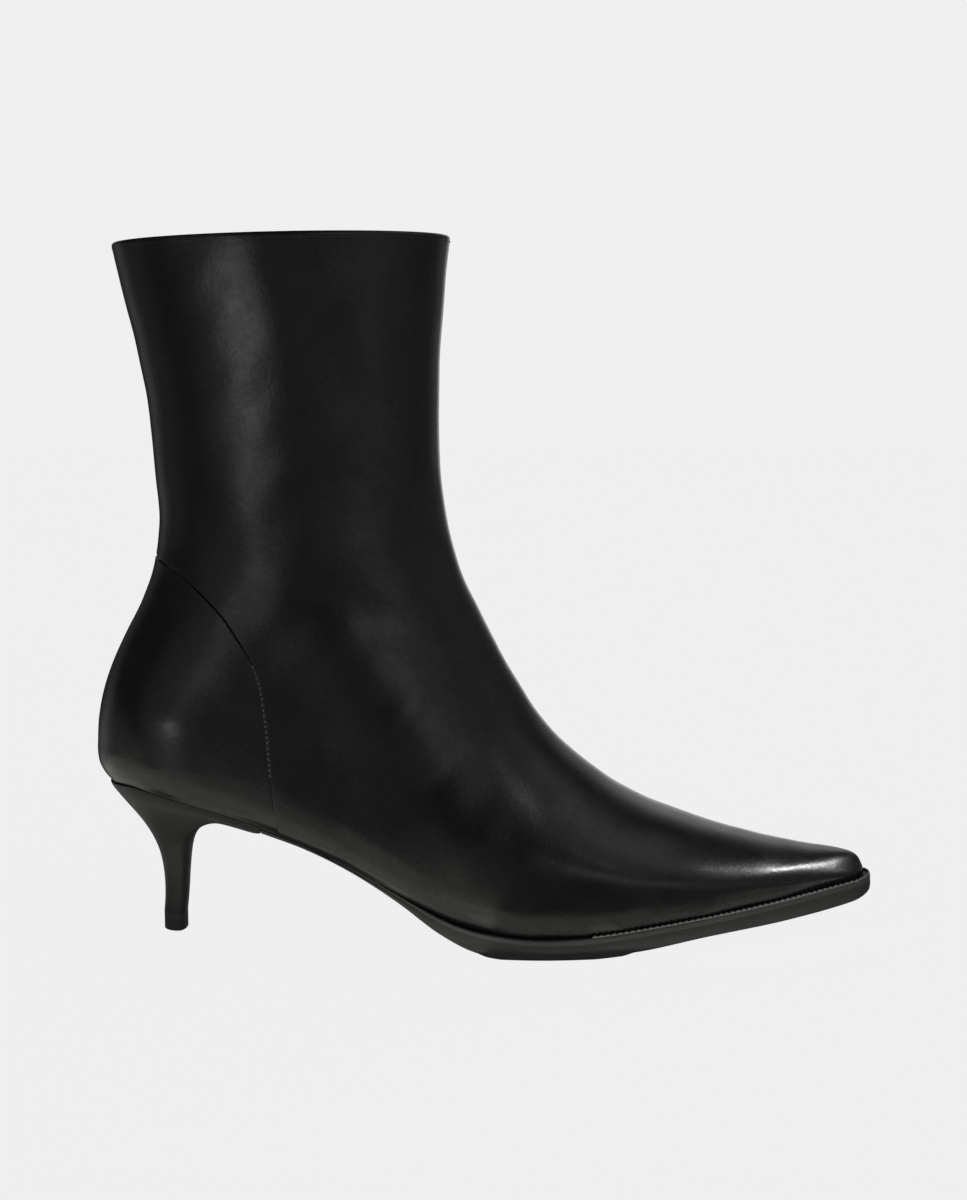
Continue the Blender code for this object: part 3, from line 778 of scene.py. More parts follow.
# Outsole, in millimetres. The ledge under the welt is given as inset and lift.
SOLE_COLUMNS = 170
BEVEL_STEPS = 7
SIDE_STEPS = 8
SIDE_CROWN = 0.12
SIDE_DROP = 0.12
LEDGE = ((0.0, -0.03), (0.03, 0.0), (0.5, 0.02), (WELT_TUCK, 0.02))

# Welt, in millimetres: inner rows as inset and drop, lower rows as inset and lift.
WELT_INNER = ((WELT_TUCK, 0.2), (0.6, 0.15))
WELT_ROUND = 0.6
WELT_STEPS = 6
WELT_LOWER = ((0.0, 0.10), (0.0, 0.03), (0.03, 0.0))
WELT_BED = 0.02
WELT_SINKS = (-50.0, -15.0)

# Back end of the outsole, just inside the heel's lip.
SOLE_REAR = along_to_x(HEEL_LIP) - 0.1


def sole_loop(reach, height):
    """Loop round the sole at a reach out from the feather line."""
    return plan_loop(toe_spread(SOLE_COLUMNS), SOLE_REAR, reach, height)


def make_sole():
    """Outsole: rounded lower edge, faintly crowned side, and a seat for the welt."""

    def ledge(x):
        return feather_height(x) - 2.0 * FIT - welt_thickness(x)

    def foot(x):
        return np.minimum(sole_underside(x) + SOLE_BEVEL, ledge(x) - FIT)

    loops = []
    for step in range(BEVEL_STEPS + 1):
        turn = 0.5 * math.pi * step / BEVEL_STEPS
        inset = SOLE_BEVEL * (1.0 - math.sin(turn))
        drop = 1.0 - math.cos(turn)
        loops.append(sole_loop(
            lambda x: sole_reach(x) - inset, lambda x: mix(sole_underside(x), foot(x), drop)))
    for step in range(1, SIDE_STEPS + 1):
        part = step / SIDE_STEPS
        crown = SIDE_CROWN * math.sin(math.pi * part)
        loops.append(sole_loop(
            lambda x: sole_reach(x) + crown, lambda x: mix(foot(x), ledge(x) - SIDE_DROP, part)))
    for inset, lift in LEDGE:
        loops.append(sole_loop(lambda x: sole_reach(x) - inset, lambda x: ledge(x) + lift))
    loops.append(sole_loop(lambda x: -WELT_TUCK - FIT, lambda x: feather_height(x) - FIT))
    return capped_grid("sole", loops, (0, len(loops) - 1))


def make_welt():
    """Welt: a strip round the forefoot with a rounded upper edge, skived thin at both ends."""

    def top(x):
        return feather_height(x) - mix(SEAT_RISE, FIT, fade(*WELT_SINKS, x))

    def bottom(x):
        return top(x) - welt_thickness(x) - FIT

    loops = []
    for inset, drop in WELT_INNER:
        loops.append(sole_loop(lambda x: -inset, lambda x: top(x) - drop))
    for step in range(WELT_STEPS + 1):
        turn = 0.5 * math.pi * step / WELT_STEPS
        loops.append(sole_loop(
            lambda x: sole_reach(x) - WELT_ROUND + WELT_ROUND * math.sin(turn),
            lambda x: top(x) - np.minimum(WELT_ROUND, 0.5 * welt_thickness(x)) * (1.0 - math.cos(turn))))
    for inset, lift in WELT_LOWER:
        loops.append(sole_loop(lambda x: sole_reach(x) - inset, lambda x: bottom(x) + lift))
    loops.append(sole_loop(lambda x: -WELT_TUCK, lambda x: bottom(x) + WELT_BED))
    return weld(grid_mesh("welt_strip", np.array(loops), flip=True))


# Sock, in millimetres: inset and lift of its rows from the edge inwards, and its overhang on the board.
SOCK_ROWS = ((0.0, 0.0), (0.05, 1.0), (0.35, 1.7), (0.9, 2.1), (2.0, 2.3), (5.0, 2.35), (12.0, 2.3))
SOCK_OVERHANG = 0.2
SOCK_COLUMNS = 90


def make_sock():
    """Sock over the insole board, with a soft edge."""
    shares = spread(SOCK_COLUMNS)
    loops = []
    for inset, lift in SOCK_ROWS:
        back = WALL + INSOLE_CLEARANCE - SOCK_OVERHANG + inset
        loops.append(plan_loop(
            shares, FEATHER_BACK + back, lambda x: -back, lambda x: feather_height(x) + lift))
    return capped_grid("sock", loops, (len(loops) - 1,))


# Heel: columns of each side, rows, levels of the rows crowded at both ends, and where the even rows start.
HEEL_SIDE_COLUMNS = 48
HEEL_ROWS = 126
HEEL_ENDS = (0.0, 0.012, 0.036)
HEEL_START = 0.08
HEEL_FOOT = len(HEEL_SECTIONS) - 1.0

# Heel seat, in millimetres. Its gap under the upper changes over a stretch and closes over some levels.
SEAT_TRIM = 0.4
SEAT_RISE = 0.05
SEAT_GAP = (0.4, 0.5)
SEAT_GAP_AT = (-122.0, -95.0)
SEAT_GAP_LEVELS = 2.0


def heel_points(level, share, side, lowered):
    """The heel block's face, evened out between neighbouring sections below its seat."""
    level = np.asarray(level, dtype=float)
    room = HEEL_SOFTENING * np.clip(np.minimum(level, HEEL_FOOT - level), 0.0, 1.0)
    parts = [heel_section(level + step * room, share, side, lowered) * weight for step, weight in SOFTENING]
    return sum(parts) / SOFT_TOTAL


def seat_gap(x):
    """Width of the shadow line between heel and upper, narrower at the back."""
    return mix(*SEAT_GAP, fade(*SEAT_GAP_AT, x))


def heel_section(level, share, side, lowered):
    """Points round the heel block at levels of its table."""
    section = section_at(HEEL_SECTIONS, HEEL_COLUMNS, level)
    back_x = along_to_x(section["back_along"])
    front_x = along_to_x(np.minimum(section["front_along"], HEEL_LIP))
    x = mix(back_x, front_x, share)
    seat = np.clip(section["seat"], 0.0, 1.0)
    dip = feather_height(x) - mix(feather_height(back_x), feather_height(front_x), share)
    half = mix(section["width"], full_half_width(x, side) + HEEL_FLUSH - SEAT_TRIM, seat)
    half = half * rounding(1.0 - share, section["nose"]) * rounding(share, section["heel"])
    straight = mix(HEEL_HEIGHT * section["back_rise"], HEEL_HEIGHT * section["front_rise"], share)
    below = mix(seat_gap(x), lowered, np.clip(level / SEAT_GAP_LEVELS, 0.0, 1.0))
    z = np.minimum(straight + seat * dip, feather_height(x)) - below
    return np.stack(np.broadcast_arrays(x, side * half, z), axis=-1)


def heel_ring(levels, lowered):
    """Grid of loops round the heel, down the outer side and home along the inner one."""
    shares = spread(HEEL_SIDE_COLUMNS)
    return out_and_back(*(heel_points(levels[:, None], shares[None, :], side, lowered) for side in (-1, 1)))


def make_heel():
    """Heel block: wide at the seat, curving in to a slim stem."""
    ends = np.array(HEEL_ENDS)
    even = np.linspace(HEEL_START, HEEL_FOOT - HEEL_START, HEEL_ROWS)
    levels = np.concatenate([ends, even, HEEL_FOOT - ends[::-1]])
    return capped_grid("heel_block", heel_ring(levels, FIT), (0, len(levels) - 1), flip=True)


# Top lift, in millimetres: rows of its joint as depth and inset, end of its straight side, rounded foot.
LIFT_JOINT = ((-0.02, 0.3), (0.02, 0.12), (0.10, 0.02), (0.25, 0.0))
LIFT_SIDE = 3.0
LIFT_ROUND = 0.3
LIFT_ROWS = 6


def make_heel_tip():
    """Top lift: the wearing piece under the stem, set in a hair at its joint and rounded at its foot."""
    stem = heel_ring(np.array([HEEL_FOOT]), 0.0)[0]
    middle = stem.mean(axis=0)
    length = np.ptp(stem[:, 0])
    profile = [(LIFT_HEIGHT - depth, inset) for depth, inset in LIFT_JOINT] + [(LIFT_SIDE, 0.0)]
    for turn in np.linspace(0.0, 0.5 * math.pi, LIFT_ROWS):
        profile.append((LIFT_ROUND * (1.0 - math.sin(turn)), LIFT_ROUND * (1.0 - math.cos(turn))))
    loops = []
    for height, inset in profile:
        row = middle + (stem - middle) * (1.0 - 2.0 * inset / length)
        row[:, 2] = height
        loops.append(row)
    return capped_grid("heel_tip", loops, (0, len(loops) - 1), flip=True)


# Tread pad: overlap and reaches in millimetres, thickness at its ends and sides as a share.
TREAD_STEPS = 60
TREAD_OVERLAP = 0.05
TREAD_END = 0.12
TREAD_END_REACH = 7.0
TREAD_SIDE = 0.55
TREAD_SIDE_REACH = 0.6


def make_tread():
    """Tread pad under the ball, with rounded edges."""
    rear, front = (along_to_x(end) for end in PAD_ENDS)
    x = mix(rear, front, spread(TREAD_STEPS))
    across = np.sin(0.5 * np.pi * np.linspace(-1.0, 1.0, TREAD_STEPS + 1))
    out = sole_reach(x) - SOLE_BEVEL - PAD_INSET
    outer = plan_half_width(x, -1, out)
    inner = plan_half_width(x, 1, out)
    y = np.where(across[None, :] < 0.0, outer[:, None], inner[:, None]) * across[None, :]
    end = np.minimum(x - rear, front - x)[:, None]
    side = (1.0 - np.abs(across))[None, :] * np.minimum(outer, inner)[:, None]
    thin = mix(TREAD_END, 1.0, fade(0.0, TREAD_END_REACH, end))
    thin = thin * mix(TREAD_SIDE, 1.0, rounding(side, TREAD_SIDE_REACH))
    under = sole_underside(x)[:, None] - (FIT + PAD_THICKNESS) * thin
    over = (sole_underside(x) + TREAD_OVERLAP)[:, None] + 0.0 * y
    wide = np.broadcast_to(x[:, None], y.shape)
    lower = np.stack([wide, y, under], axis=-1)
    upper = np.stack([wide, y, over], axis=-1)[:, ::-1]
    return weld(grid_mesh("tread", np.concatenate([lower, upper], axis=1), wrap=True, close_ends=True))


def even_path(points, pitch):
    """Places along a path, and how far along it they lie, at an even pitch."""
    steps = np.linalg.norm(np.diff(points, axis=0), axis=-1)
    run = np.concatenate([[0.0], np.cumsum(steps)])
    return np.arange(0.5 * pitch, run[-1] - 0.5 * pitch, pitch), run


def along_path(points, run, places):
    """Points at distances along a path."""
    return np.stack([np.interp(places, run, points[:, axis]) for axis in range(3)], axis=-1)


# Threads: corners round them, sections along them, and the form of their arc as shares of their radius.
THREAD_SIDES = 6
THREAD_SECTIONS = 7
THREAD_RISE = 1.4
THREAD_BED = 0.75
THREAD_ENDS = 0.55
THREAD_CURVE = 0.6


def make_stitches(name, paths, pitch, length, radius, sink):
    """Row of short threads along paths with normals, each a rounded arc with its ends in the leather."""
    arch = np.sin(np.linspace(0.0, np.pi, THREAD_SECTIONS))
    rise = radius * (THREAD_RISE * arch ** THREAD_CURVE - THREAD_BED) - sink
    thick = radius * mix(THREAD_ENDS, 1.0, arch ** 0.5)
    turns = 2.0 * np.pi * np.arange(THREAD_SIDES) / THREAD_SIDES
    rings = np.arange(THREAD_SECTIONS * THREAD_SIDES).reshape(THREAD_SECTIONS, THREAD_SIDES)
    after = np.roll(rings, -1, axis=1)
    sides = np.stack([rings[:-1], after[:-1], after[1:], rings[1:]], axis=-1).reshape(-1, 4)
    verts = []
    faces = []
    for points, normals in paths:
        places, run = even_path(points, pitch)
        for place in places:
            spots = np.linspace(place - 0.5 * length, place + 0.5 * length, THREAD_SECTIONS)
            middle = along_path(points, run, spots)
            out = along_path(normals, run, spots)
            out /= np.linalg.norm(out, axis=-1, keepdims=True)
            ahead = middle[-1] - middle[0]
            ahead /= np.linalg.norm(ahead)
            across = np.cross(ahead, out)
            centres = middle + out * rise[:, None]
            base = THREAD_SECTIONS * THREAD_SIDES * len(verts)
            spokes = out[:, None] * np.cos(turns)[:, None] + across[:, None] * np.sin(turns)[:, None]
            verts.append(centres[:, None] + thick[:, None, None] * spokes)
            faces += (base + sides).tolist()
            faces += [(base + rings[0]).tolist(), (base + rings[-1, ::-1]).tolist()]
    return weld(mesh_piece(name, np.array(verts), faces), THREAD_WELD)


# Steps, as a share of the way round and in levels, over which the upper's normals are taken.
NORMAL_ROUND = 0.004
NORMAL_UP = 0.02


def skin_normal(level, share, side):
    """Outward normals of the upper's face."""
    ahead = skin(level, share + NORMAL_ROUND, side) - skin(level, share - NORMAL_ROUND, side)
    up = skin(level + NORMAL_UP, share, side) - skin(level - NORMAL_UP, share, side)
    normal = np.cross(ahead, up) * -np.asarray(side)
    return normal / np.linalg.norm(normal, axis=-1, keepdims=True)


# Counter's seam: levels and number of its points, least share of the way round, step for measuring.
SEAM_LEVELS = (0.3, 7.6, 600)
SEAM_LEAST = 0.02
SEAM_STEP = 0.002


def seam_path(side, back, low, high, out):
    """Path on the counter, some millimetres behind its front edge, between two heights."""
    levels = np.linspace(*SEAM_LEVELS)
    share = seam_share(levels, side)
    levels = levels[share > SEAM_LEAST]
    share = share[share > SEAM_LEAST]
    moved = skin(levels, share, side) - skin(levels, share - SEAM_STEP, side)
    share = share - back / (np.linalg.norm(moved, axis=-1) / SEAM_STEP)
    points = skin(levels, share, side)
    normals = skin_normal(levels, share, side)
    keep = (points[:, 2] > low) & (points[:, 2] < high)
    outward = (out + relief(points[keep]))[:, None]
    return points[keep] + normals[keep] * outward, normals[keep]


# Collar's path: columns, and levels below the top. Share of the length at which the welt's stitches start,
# and with them the painted highlight that their light thread gives.
COLLAR_COLUMNS = 140
COLLAR_LEVELS = (0.5, 0.25, 0.0)
WELT_STITCH_AND_HIGHLIGHT_START = 0.63


def collar_path(down):
    """Path round the outside of the collar, some millimetres below its edge."""
    ring = full_ring(TOP - np.array(COLLAR_LEVELS), COLLAR_COLUMNS)
    up = ring[2] - ring[0]
    up /= np.linalg.norm(up, axis=-1, keepdims=True)
    normals = ring_normals(ring)[2]
    path = ring[2] - up * down
    return np.concatenate([path, path[:1]]), np.concatenate([normals, normals[:1]])


def welt_path(inset):
    """Path round the top of the welt, some millimetres in from its edge."""
    shares = toe_spread(SOLE_COLUMNS * 2)
    rear = along_to_x(WELT_STITCH_AND_HIGHLIGHT_START)
    path = plan_loop(shares, rear, lambda x: sole_reach(x) - inset, lambda x: feather_height(x) - FIT)
    normals = np.zeros_like(path)
    normals[:, 2] = 1.0
    return path, normals


def new_material(name):
    """Material with its node tree, its shader and a texture coordinate in the boot's own frame."""
    material = bpy.data.materials.new(name)
    material.use_nodes = True
    tree = material.node_tree
    shader = tree.nodes["Principled BSDF"]
    place = tree.nodes.new("ShaderNodeTexCoord")
    return material, tree, shader, place.outputs["Object"]


def add_node(tree, kind, values, links, operation=None):
    """Node with values set on some inputs and sockets linked to others."""
    node = tree.nodes.new(kind)
    if operation is not None:
        node.operation = operation
    for key, value in values.items():
        node.inputs[key].default_value = value
    for key, socket in links.items():
        tree.links.new(socket, node.inputs[key])
    return node


def noise(tree, place, scale, detail=3.0, rough=0.5, stretch=None):
    """Noise over the boot's own frame, in turns per metre, drawn out along an axis where asked."""
    if stretch is not None:
        place = add_node(tree, "ShaderNodeMapping", {"Scale": stretch}, {"Vector": place}).outputs["Vector"]
    values = {"Scale": scale, "Detail": detail, "Roughness": rough}
    return add_node(tree, "ShaderNodeTexNoise", values, {"Vector": place}).outputs["Fac"]


CELL_SMOOTHNESS = 0.6


def cells(tree, place, scale):
    """Distance pattern of small cells, as in the grain of leather."""
    texture = add_node(tree, "ShaderNodeTexVoronoi", {"Scale": scale}, {"Vector": place})
    texture.feature = "SMOOTH_F1"
    texture.inputs["Smoothness"].default_value = CELL_SMOOTHNESS
    return texture.outputs["Distance"]


# Span of a noise texture's values that is spread over a range of colours or numbers.
NOISE_SPAN = (0.3, 0.7)


def ranged(tree, value, low, high):
    """Value from a texture spread between two numbers."""
    values = {"From Min": NOISE_SPAN[0], "From Max": NOISE_SPAN[1], "To Min": low, "To Max": high}
    return add_node(tree, "ShaderNodeMapRange", values, {"Value": value}).outputs["Result"]


def blended(tree, value, low, high):
    """Colour from a texture, between two colours."""
    ramp = add_node(tree, "ShaderNodeValToRGB", {}, {"Fac": value})
    for stop, position, colour in zip(ramp.color_ramp.elements, NOISE_SPAN, (low, high)):
        stop.position = position
        stop.color = (*colour, 1.0)
    return ramp.outputs["Color"]


def bumped(tree, height, strength, distance, under=None):
    """Bump from a height, over another bump where there is one."""
    links = {"Height": height} if under is None else {"Height": height, "Normal": under}
    values = {"Strength": strength, "Distance": distance}
    return add_node(tree, "ShaderNodeBump", values, links).outputs["Normal"]


def linked(tree, shader, sockets):
    """Links sockets to a shader's inputs by their names."""
    for key, socket in sockets.items():
        tree.links.new(socket, shader.inputs[key])


# Leather: scale in turns per metre, detail and roughness of its noises, strength and depth of its bumps.
LEATHER_CLOUD = (55.0, 4.0, 0.55)
LEATHER_POLISH = (140.0, 5.0, 0.6)
LEATHER_SHEEN = (420.0, 3.0, 0.75)
SHEEN_RANGE = (0.43, 0.57)
LEATHER_MOTTLE = (170.0, 3.0, 0.6)
MOTTLE_BUMP = (0.42, 0.0001)
GRAIN_SCALE = 800.0
GRAIN_BUMP = (0.22, 0.0001)


def leather(name, dark, light, roughness):
    """Smooth calf: fine grain, faint mottling, an uneven polish."""
    material, tree, shader, place = new_material(name)
    mottle = bumped(tree, noise(tree, place, *LEATHER_MOTTLE), *MOTTLE_BUMP)
    linked(tree, shader, {
        "Base Color": blended(tree, noise(tree, place, *LEATHER_CLOUD), dark, light),
        "Roughness": ranged(tree, noise(tree, place, *LEATHER_POLISH), *roughness),
        "Specular IOR Level": ranged(tree, noise(tree, place, *LEATHER_SHEEN), *SHEEN_RANGE),
        "Normal": bumped(tree, cells(tree, place, GRAIN_SCALE), *GRAIN_BUMP, mottle),
    })
    return material


# Moulded and trimmed surfaces: the same values, without the scale and the strength that each surface has.
FINISH_CLOUD = (80.0, 4.0, 0.55)
FINISH_WEAR = (260.0, 4.0, 0.6)
TOOTH_NOISE = (3.0, 0.55)
TOOTH_DEPTH = 0.0001


def plain_finish(name, dark, light, roughness, fine, strength, stretch=None):
    """Moulded or trimmed surface with a fine tooth."""
    material, tree, shader, place = new_material(name)
    tooth = noise(tree, place, fine, *TOOTH_NOISE, stretch)
    linked(tree, shader, {
        "Base Color": blended(tree, noise(tree, place, *FINISH_CLOUD), dark, light),
        "Roughness": ranged(tree, noise(tree, place, *FINISH_WEAR, stretch), *roughness),
        "Normal": bumped(tree, tooth, strength, TOOTH_DEPTH),
    })
    return material


# Tread: the same values, with the scale of its pressed lines.
TREAD_CLOUD = (120.0, 4.0, 0.55)
TREAD_ROUGHNESS = (0.62, 0.8)
TREAD_LINES = 120.0
LINE_BUMP = (0.6, 0.0003)
TREAD_TOOTH = (1500.0, 2.0, 0.5)
TREAD_TOOTH_BUMP = (0.2, 0.0001)


def rubber_tread(name, dark, light):
    """Rubber with fine cross lines pressed into it."""
    material, tree, shader, place = new_material(name)
    cloud = noise(tree, place, *TREAD_CLOUD)
    values = {"Scale": TREAD_LINES, "Distortion": 0.0}
    lines = add_node(tree, "ShaderNodeTexWave", values, {"Vector": place})
    lines.wave_type = "BANDS"
    lines.bands_direction = "X"
    pressed = bumped(tree, lines.outputs["Fac"], *LINE_BUMP)
    linked(tree, shader, {
        "Base Color": blended(tree, cloud, dark, light),
        "Roughness": ranged(tree, cloud, *TREAD_ROUGHNESS),
        "Normal": bumped(tree, noise(tree, place, *TREAD_TOOTH), *TREAD_TOOTH_BUMP, pressed),
    })
    return material


# Thread: noise of its twist, and the roughness and bump that follow it.
THREAD_TWIST = (2600.0, 2.0, 0.5)
THREAD_ROUGHNESS = (0.4, 0.6)
TWIST_BUMP = (0.3, 0.0001)


def thread(name, dark, light):
    """Waxed thread with a twist."""
    material, tree, shader, place = new_material(name)
    twist = noise(tree, place, *THREAD_TWIST)
    linked(tree, shader, {
        "Base Color": blended(tree, twist, dark, light),
        "Roughness": ranged(tree, twist, *THREAD_ROUGHNESS),
        "Normal": bumped(tree, twist, *TWIST_BUMP),
    })
    return material


# Leathers: dark and light colour, least and most roughness.
LEATHERS = {
    "calf": ((0.0045, 0.0045, 0.0047), (0.0065, 0.0065, 0.0064), (0.245, 0.305)),
    "counter_calf": ((0.0048, 0.0048, 0.0050), (0.0068, 0.0068, 0.0067), (0.245, 0.305)),
    "lining": ((0.135, 0.108, 0.082), (0.180, 0.148, 0.114), (0.55, 0.68)),
    "sock": ((0.140, 0.112, 0.085), (0.185, 0.152, 0.118), (0.52, 0.64)),
}

# Moulded and trimmed surfaces: dark and light colour, roughness, fineness, strength and stretch of the tooth.
FINISHES = {
    "welt_edge": ((0.030, 0.030, 0.029), (0.044, 0.043, 0.041), (0.42, 0.58), 1200.0, 0.25),
    "sole_edge": (
        (0.016, 0.016, 0.0152), (0.022, 0.0215, 0.0205), (0.48, 0.66), 420.0, 0.22, (0.25, 0.25, 3.0)),
    "heel_satin": ((0.0100, 0.0100, 0.0096), (0.0140, 0.0138, 0.0132), (0.52, 0.64), 1500.0, 0.12),
    "tip_rubber": ((0.017, 0.0145, 0.0140), (0.023, 0.020, 0.019), (0.60, 0.75), 1300.0, 0.25),
}

# Tread and threads: dark and light colour.
TREAD_COLOURS = ((0.016, 0.016, 0.017), (0.023, 0.022, 0.022))
THREADS = {
    "dark_thread": ((0.012, 0.012, 0.012), (0.034, 0.033, 0.032)),
    "grey_thread": ((0.034, 0.033, 0.031), (0.060, 0.059, 0.055)),
    # Welt thread: its light grey is partly the thread's own colour and partly a painted highlight of the lit
    # top of the welt.
    "welt_thread_painted_highlight": ((0.150, 0.147, 0.138), (0.220, 0.216, 0.204)),
}

# Stitches, in millimetres: pitch, length, radius, sink. The counter's line: distance behind its edge, lowest
# and highest place, height over the upper. The other lines: distance from the edge.
COUNTER_STITCHES = (1.8, 1.75, 0.36, 0.05)
COUNTER_LINE = (0.2, 60.0, 98.0, 0.7)
WELT_STITCHES = (2.1, 2.5, 0.42, 0.0)
WELT_LINE = 0.65
COLLAR_STITCHES = (2.2, 1.6, 0.15, 0.0)
COLLAR_LINE = 1.7


def dress(piece, material, node=None):
    """Gives a piece its material, and sets it on the boot in place of its solid."""
    piece.data.materials.clear()
    piece.data.materials.append(material)
    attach(piece, "root")
    if node is not None:
        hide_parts(node)


def make_boot():
    """All visible pieces of the boot."""
    looks = {name: leather(name, *values) for name, values in LEATHERS.items()}
    looks.update({name: plain_finish(name, *values) for name, values in FINISHES.items()})
    looks.update({name: thread(name, *values) for name, values in THREADS.items()})
    dress(make_quarters(), looks["calf"], "upper")
    dress(make_lining(), looks["lining"])
    dress(make_counter(), looks["counter_calf"], "heel_counter")
    dress(make_sock(), looks["sock"], "insole")
    dress(make_welt(), looks["welt_edge"], "welt")
    dress(make_sole(), looks["sole_edge"], "outsole")
    dress(make_tread(), rubber_tread("tread_rubber", *TREAD_COLOURS), "tread_pad")
    dress(make_heel(), looks["heel_satin"], "heel")
    dress(make_heel_tip(), looks["tip_rubber"], "top_lift")
    seams = [seam_path(side, *COUNTER_LINE) for side in (-1, 1)]
    counter_row = make_stitches("counter_stitches", seams, *COUNTER_STITCHES)
    welt_row = make_stitches("welt_stitches", [welt_path(WELT_LINE)], *WELT_STITCHES)
    collar_row = make_stitches("collar_stitches", [collar_path(COLLAR_LINE)], *COLLAR_STITCHES)
    dress(counter_row, looks["grey_thread"])
    # The welt's light thread carries a painted highlight along the top of the welt.
    dress(welt_row, looks["welt_thread_painted_highlight"])
    dress(collar_row, looks["dark_thread"])


def direction(azimuth, elevation):
    """Unit vector towards an azimuth, 0 in front and growing to the right, and an elevation, in degrees."""
    turn = math.radians(azimuth)
    tilt = math.radians(elevation)
    return Vector((math.sin(turn) * math.cos(tilt), -math.cos(turn) * math.cos(tilt), math.sin(tilt)))


# Brightness of the backdrop and of the surround outside its spots.
BACKDROP = 0.868
AMBIENT = 0.008

# Soft light from all round, as spots that fade out evenly: azimuth, elevation and spread in degrees, then
# brightness.
SURROUND = (
    (165.0, -8.0, 7.5, 1.4),
    (180.0, -1.0, 8.0, 0.28),
    (165.0, 7.0, 7.5, 0.40),
    (164.0, 21.0, 7.5, 0.55),
    (162.0, 35.0, 6.5, 0.85),
    (135.0, -8.0, 7.5, 0.32),
    (147.0, 27.0, 9.0, 0.50),
    (108.0, 12.0, 14.0, 0.15),
    (-131.0, -22.0, 8.0, 0.50),
    (-122.0, -4.0, 9.0, 0.22),
    (-149.0, 20.0, 9.0, 0.35),
    (-90.0, 36.0, 9.0, 0.14),
    (-90.0, -9.0, 10.0, 0.14),
    (-50.0, -8.0, 10.0, 0.10),
    (-30.0, -9.0, 9.0, 0.40),
    (-44.0, 18.0, 11.0, 0.24),
    (-46.0, 54.0, 11.0, 0.25),
    (4.0, -5.0, 7.5, 0.14),
    (16.0, 3.0, 8.0, 0.15),
    (45.0, -8.0, 8.0, 0.33),
    (66.0, -14.0, 11.0, 0.18),
    (27.0, 14.0, 7.5, 0.78),
    (42.0, 21.0, 10.0, 0.28),
    (76.0, 20.0, 14.0, 0.22),
    (45.0, 35.0, 11.0, 0.09),
    (47.0, 57.0, 11.0, 0.19),
    (86.0, 52.0, 11.0, 0.75),
)

# Soft boxes: aim in metres, azimuth and elevation in degrees, distance, width and height, brightness.
SOFT_BOXES = (
    ("left_box", (-0.08, -0.03, 0.060), -28.6, 0.0, 1.1, (0.23, 0.085), 1.8),
    ("shaft_box", (-0.075, -0.035, 0.189), -23.0, -2.0, 0.22, (0.075, 0.068), 1.1),
)
BOX_TINT = (0.97, 0.99, 1.03)

# Light thrown up by the floor: middle in metres, turn in degrees, length and width, brightness.
FLOOR_CARDS = (
    ("waist_card", (-0.11, -0.070), 0.0, (0.22, 0.10), 0.60),
    ("far_card", (-0.13, -0.150), 0.0, (0.20, 0.06), 0.50),
    ("heel_card", (-0.235, -0.02), 0.0, (0.17, 0.20), 0.46),
    ("ball_card", (0.020, -0.0505), 4.0, (0.09, 0.018), 0.55),
    ("toe_card", (0.092, -0.0335), 17.6, (0.11, 0.018), 0.60),
)
FLOOR_TINT = (1.0, 0.98, 0.89)
CARD_HEIGHT = 0.003

# Small lamps: aim in metres, azimuth and elevation in degrees, distance, cone in degrees, radius, power.
SMALL_LAMPS = (
    ("toe_lamp", (0.1060, -0.012, 0.026), 89.5, 52.0, 0.5, 4.4, 0.020, 6.8),
    ("vamp_lamp", (0.012, -0.035, 0.047), 50.0, 39.0, 0.5, 7.5, 0.030, 0.22),
    ("heel_lamp", (-0.103, -0.032, 0.077), -31.0, 0.5, 0.6, 4.4, 0.030, 0.75),
)


def aim_light(name, data, aim, azimuth, elevation, distance):
    """Sets a light at a distance from its aim, out of the camera's sight."""
    light = add_object(name, data)
    back = direction(azimuth, elevation)
    light.location = Vector(aim) + back * distance
    light.rotation_euler = (-back).to_track_quat("-Z", "Y").to_euler()
    light.visible_camera = False


def panel(name, size, strength, colour):
    """Rectangle of light; strength is its brightness."""
    data = bpy.data.lights.new(name, "AREA")
    data.shape = "RECTANGLE"
    data.size, data.size_y = size
    data.energy = strength * size[0] * size[1] * math.pi
    data.color = colour
    return data


def soft_box(name, aim, azimuth, elevation, distance, size, strength):
    """Rectangle of light that faces an aim from a direction."""
    aim_light(name, panel(name, size, strength, BOX_TINT), aim, azimuth, elevation, distance)


def floor_card(name, middle, turn, size, strength):
    """Rectangle of light that lies just over the floor and shines up."""
    light = add_object(name, panel(name, size, strength, FLOOR_TINT))
    light.location = (*middle, CARD_HEIGHT)
    light.rotation_euler = (math.pi, 0.0, math.radians(turn))
    light.visible_camera = False


def small_lamp(name, aim, azimuth, elevation, distance, cone, radius, power):
    """Narrow soft-edged lamp that lights one place alone."""
    data = bpy.data.lights.new(name, "SPOT")
    data.spot_size = math.radians(cone)
    data.spot_blend = 1.0
    data.shadow_soft_size = radius
    data.energy = power
    aim_light(name, data, aim, azimuth, elevation, distance)


def surround(tree):
    """Brightness of the surround in each direction."""
    place = tree.nodes.new("ShaderNodeTexCoord").outputs["Generated"]
    total = None
    for azimuth, elevation, width, strength in SURROUND:
        sharpness = 1.0 / math.radians(width) ** 2
        facing = add_node(
            tree, "ShaderNodeVectorMath", {1: direction(azimuth, elevation)}, {0: place}, "DOT_PRODUCT")
        values = {1: sharpness, 2: math.log(strength) - sharpness}
        power = add_node(tree, "ShaderNodeMath", values, {0: facing.outputs["Value"]}, "MULTIPLY_ADD")
        spot = add_node(tree, "ShaderNodeMath", {}, {0: power.outputs["Value"]}, "EXPONENT")
        links = {0: spot.outputs["Value"]}
        if total is not None:
            links[1] = total
        total = add_node(tree, "ShaderNodeMath", {1: AMBIENT}, links, "ADD").outputs["Value"]
    return total


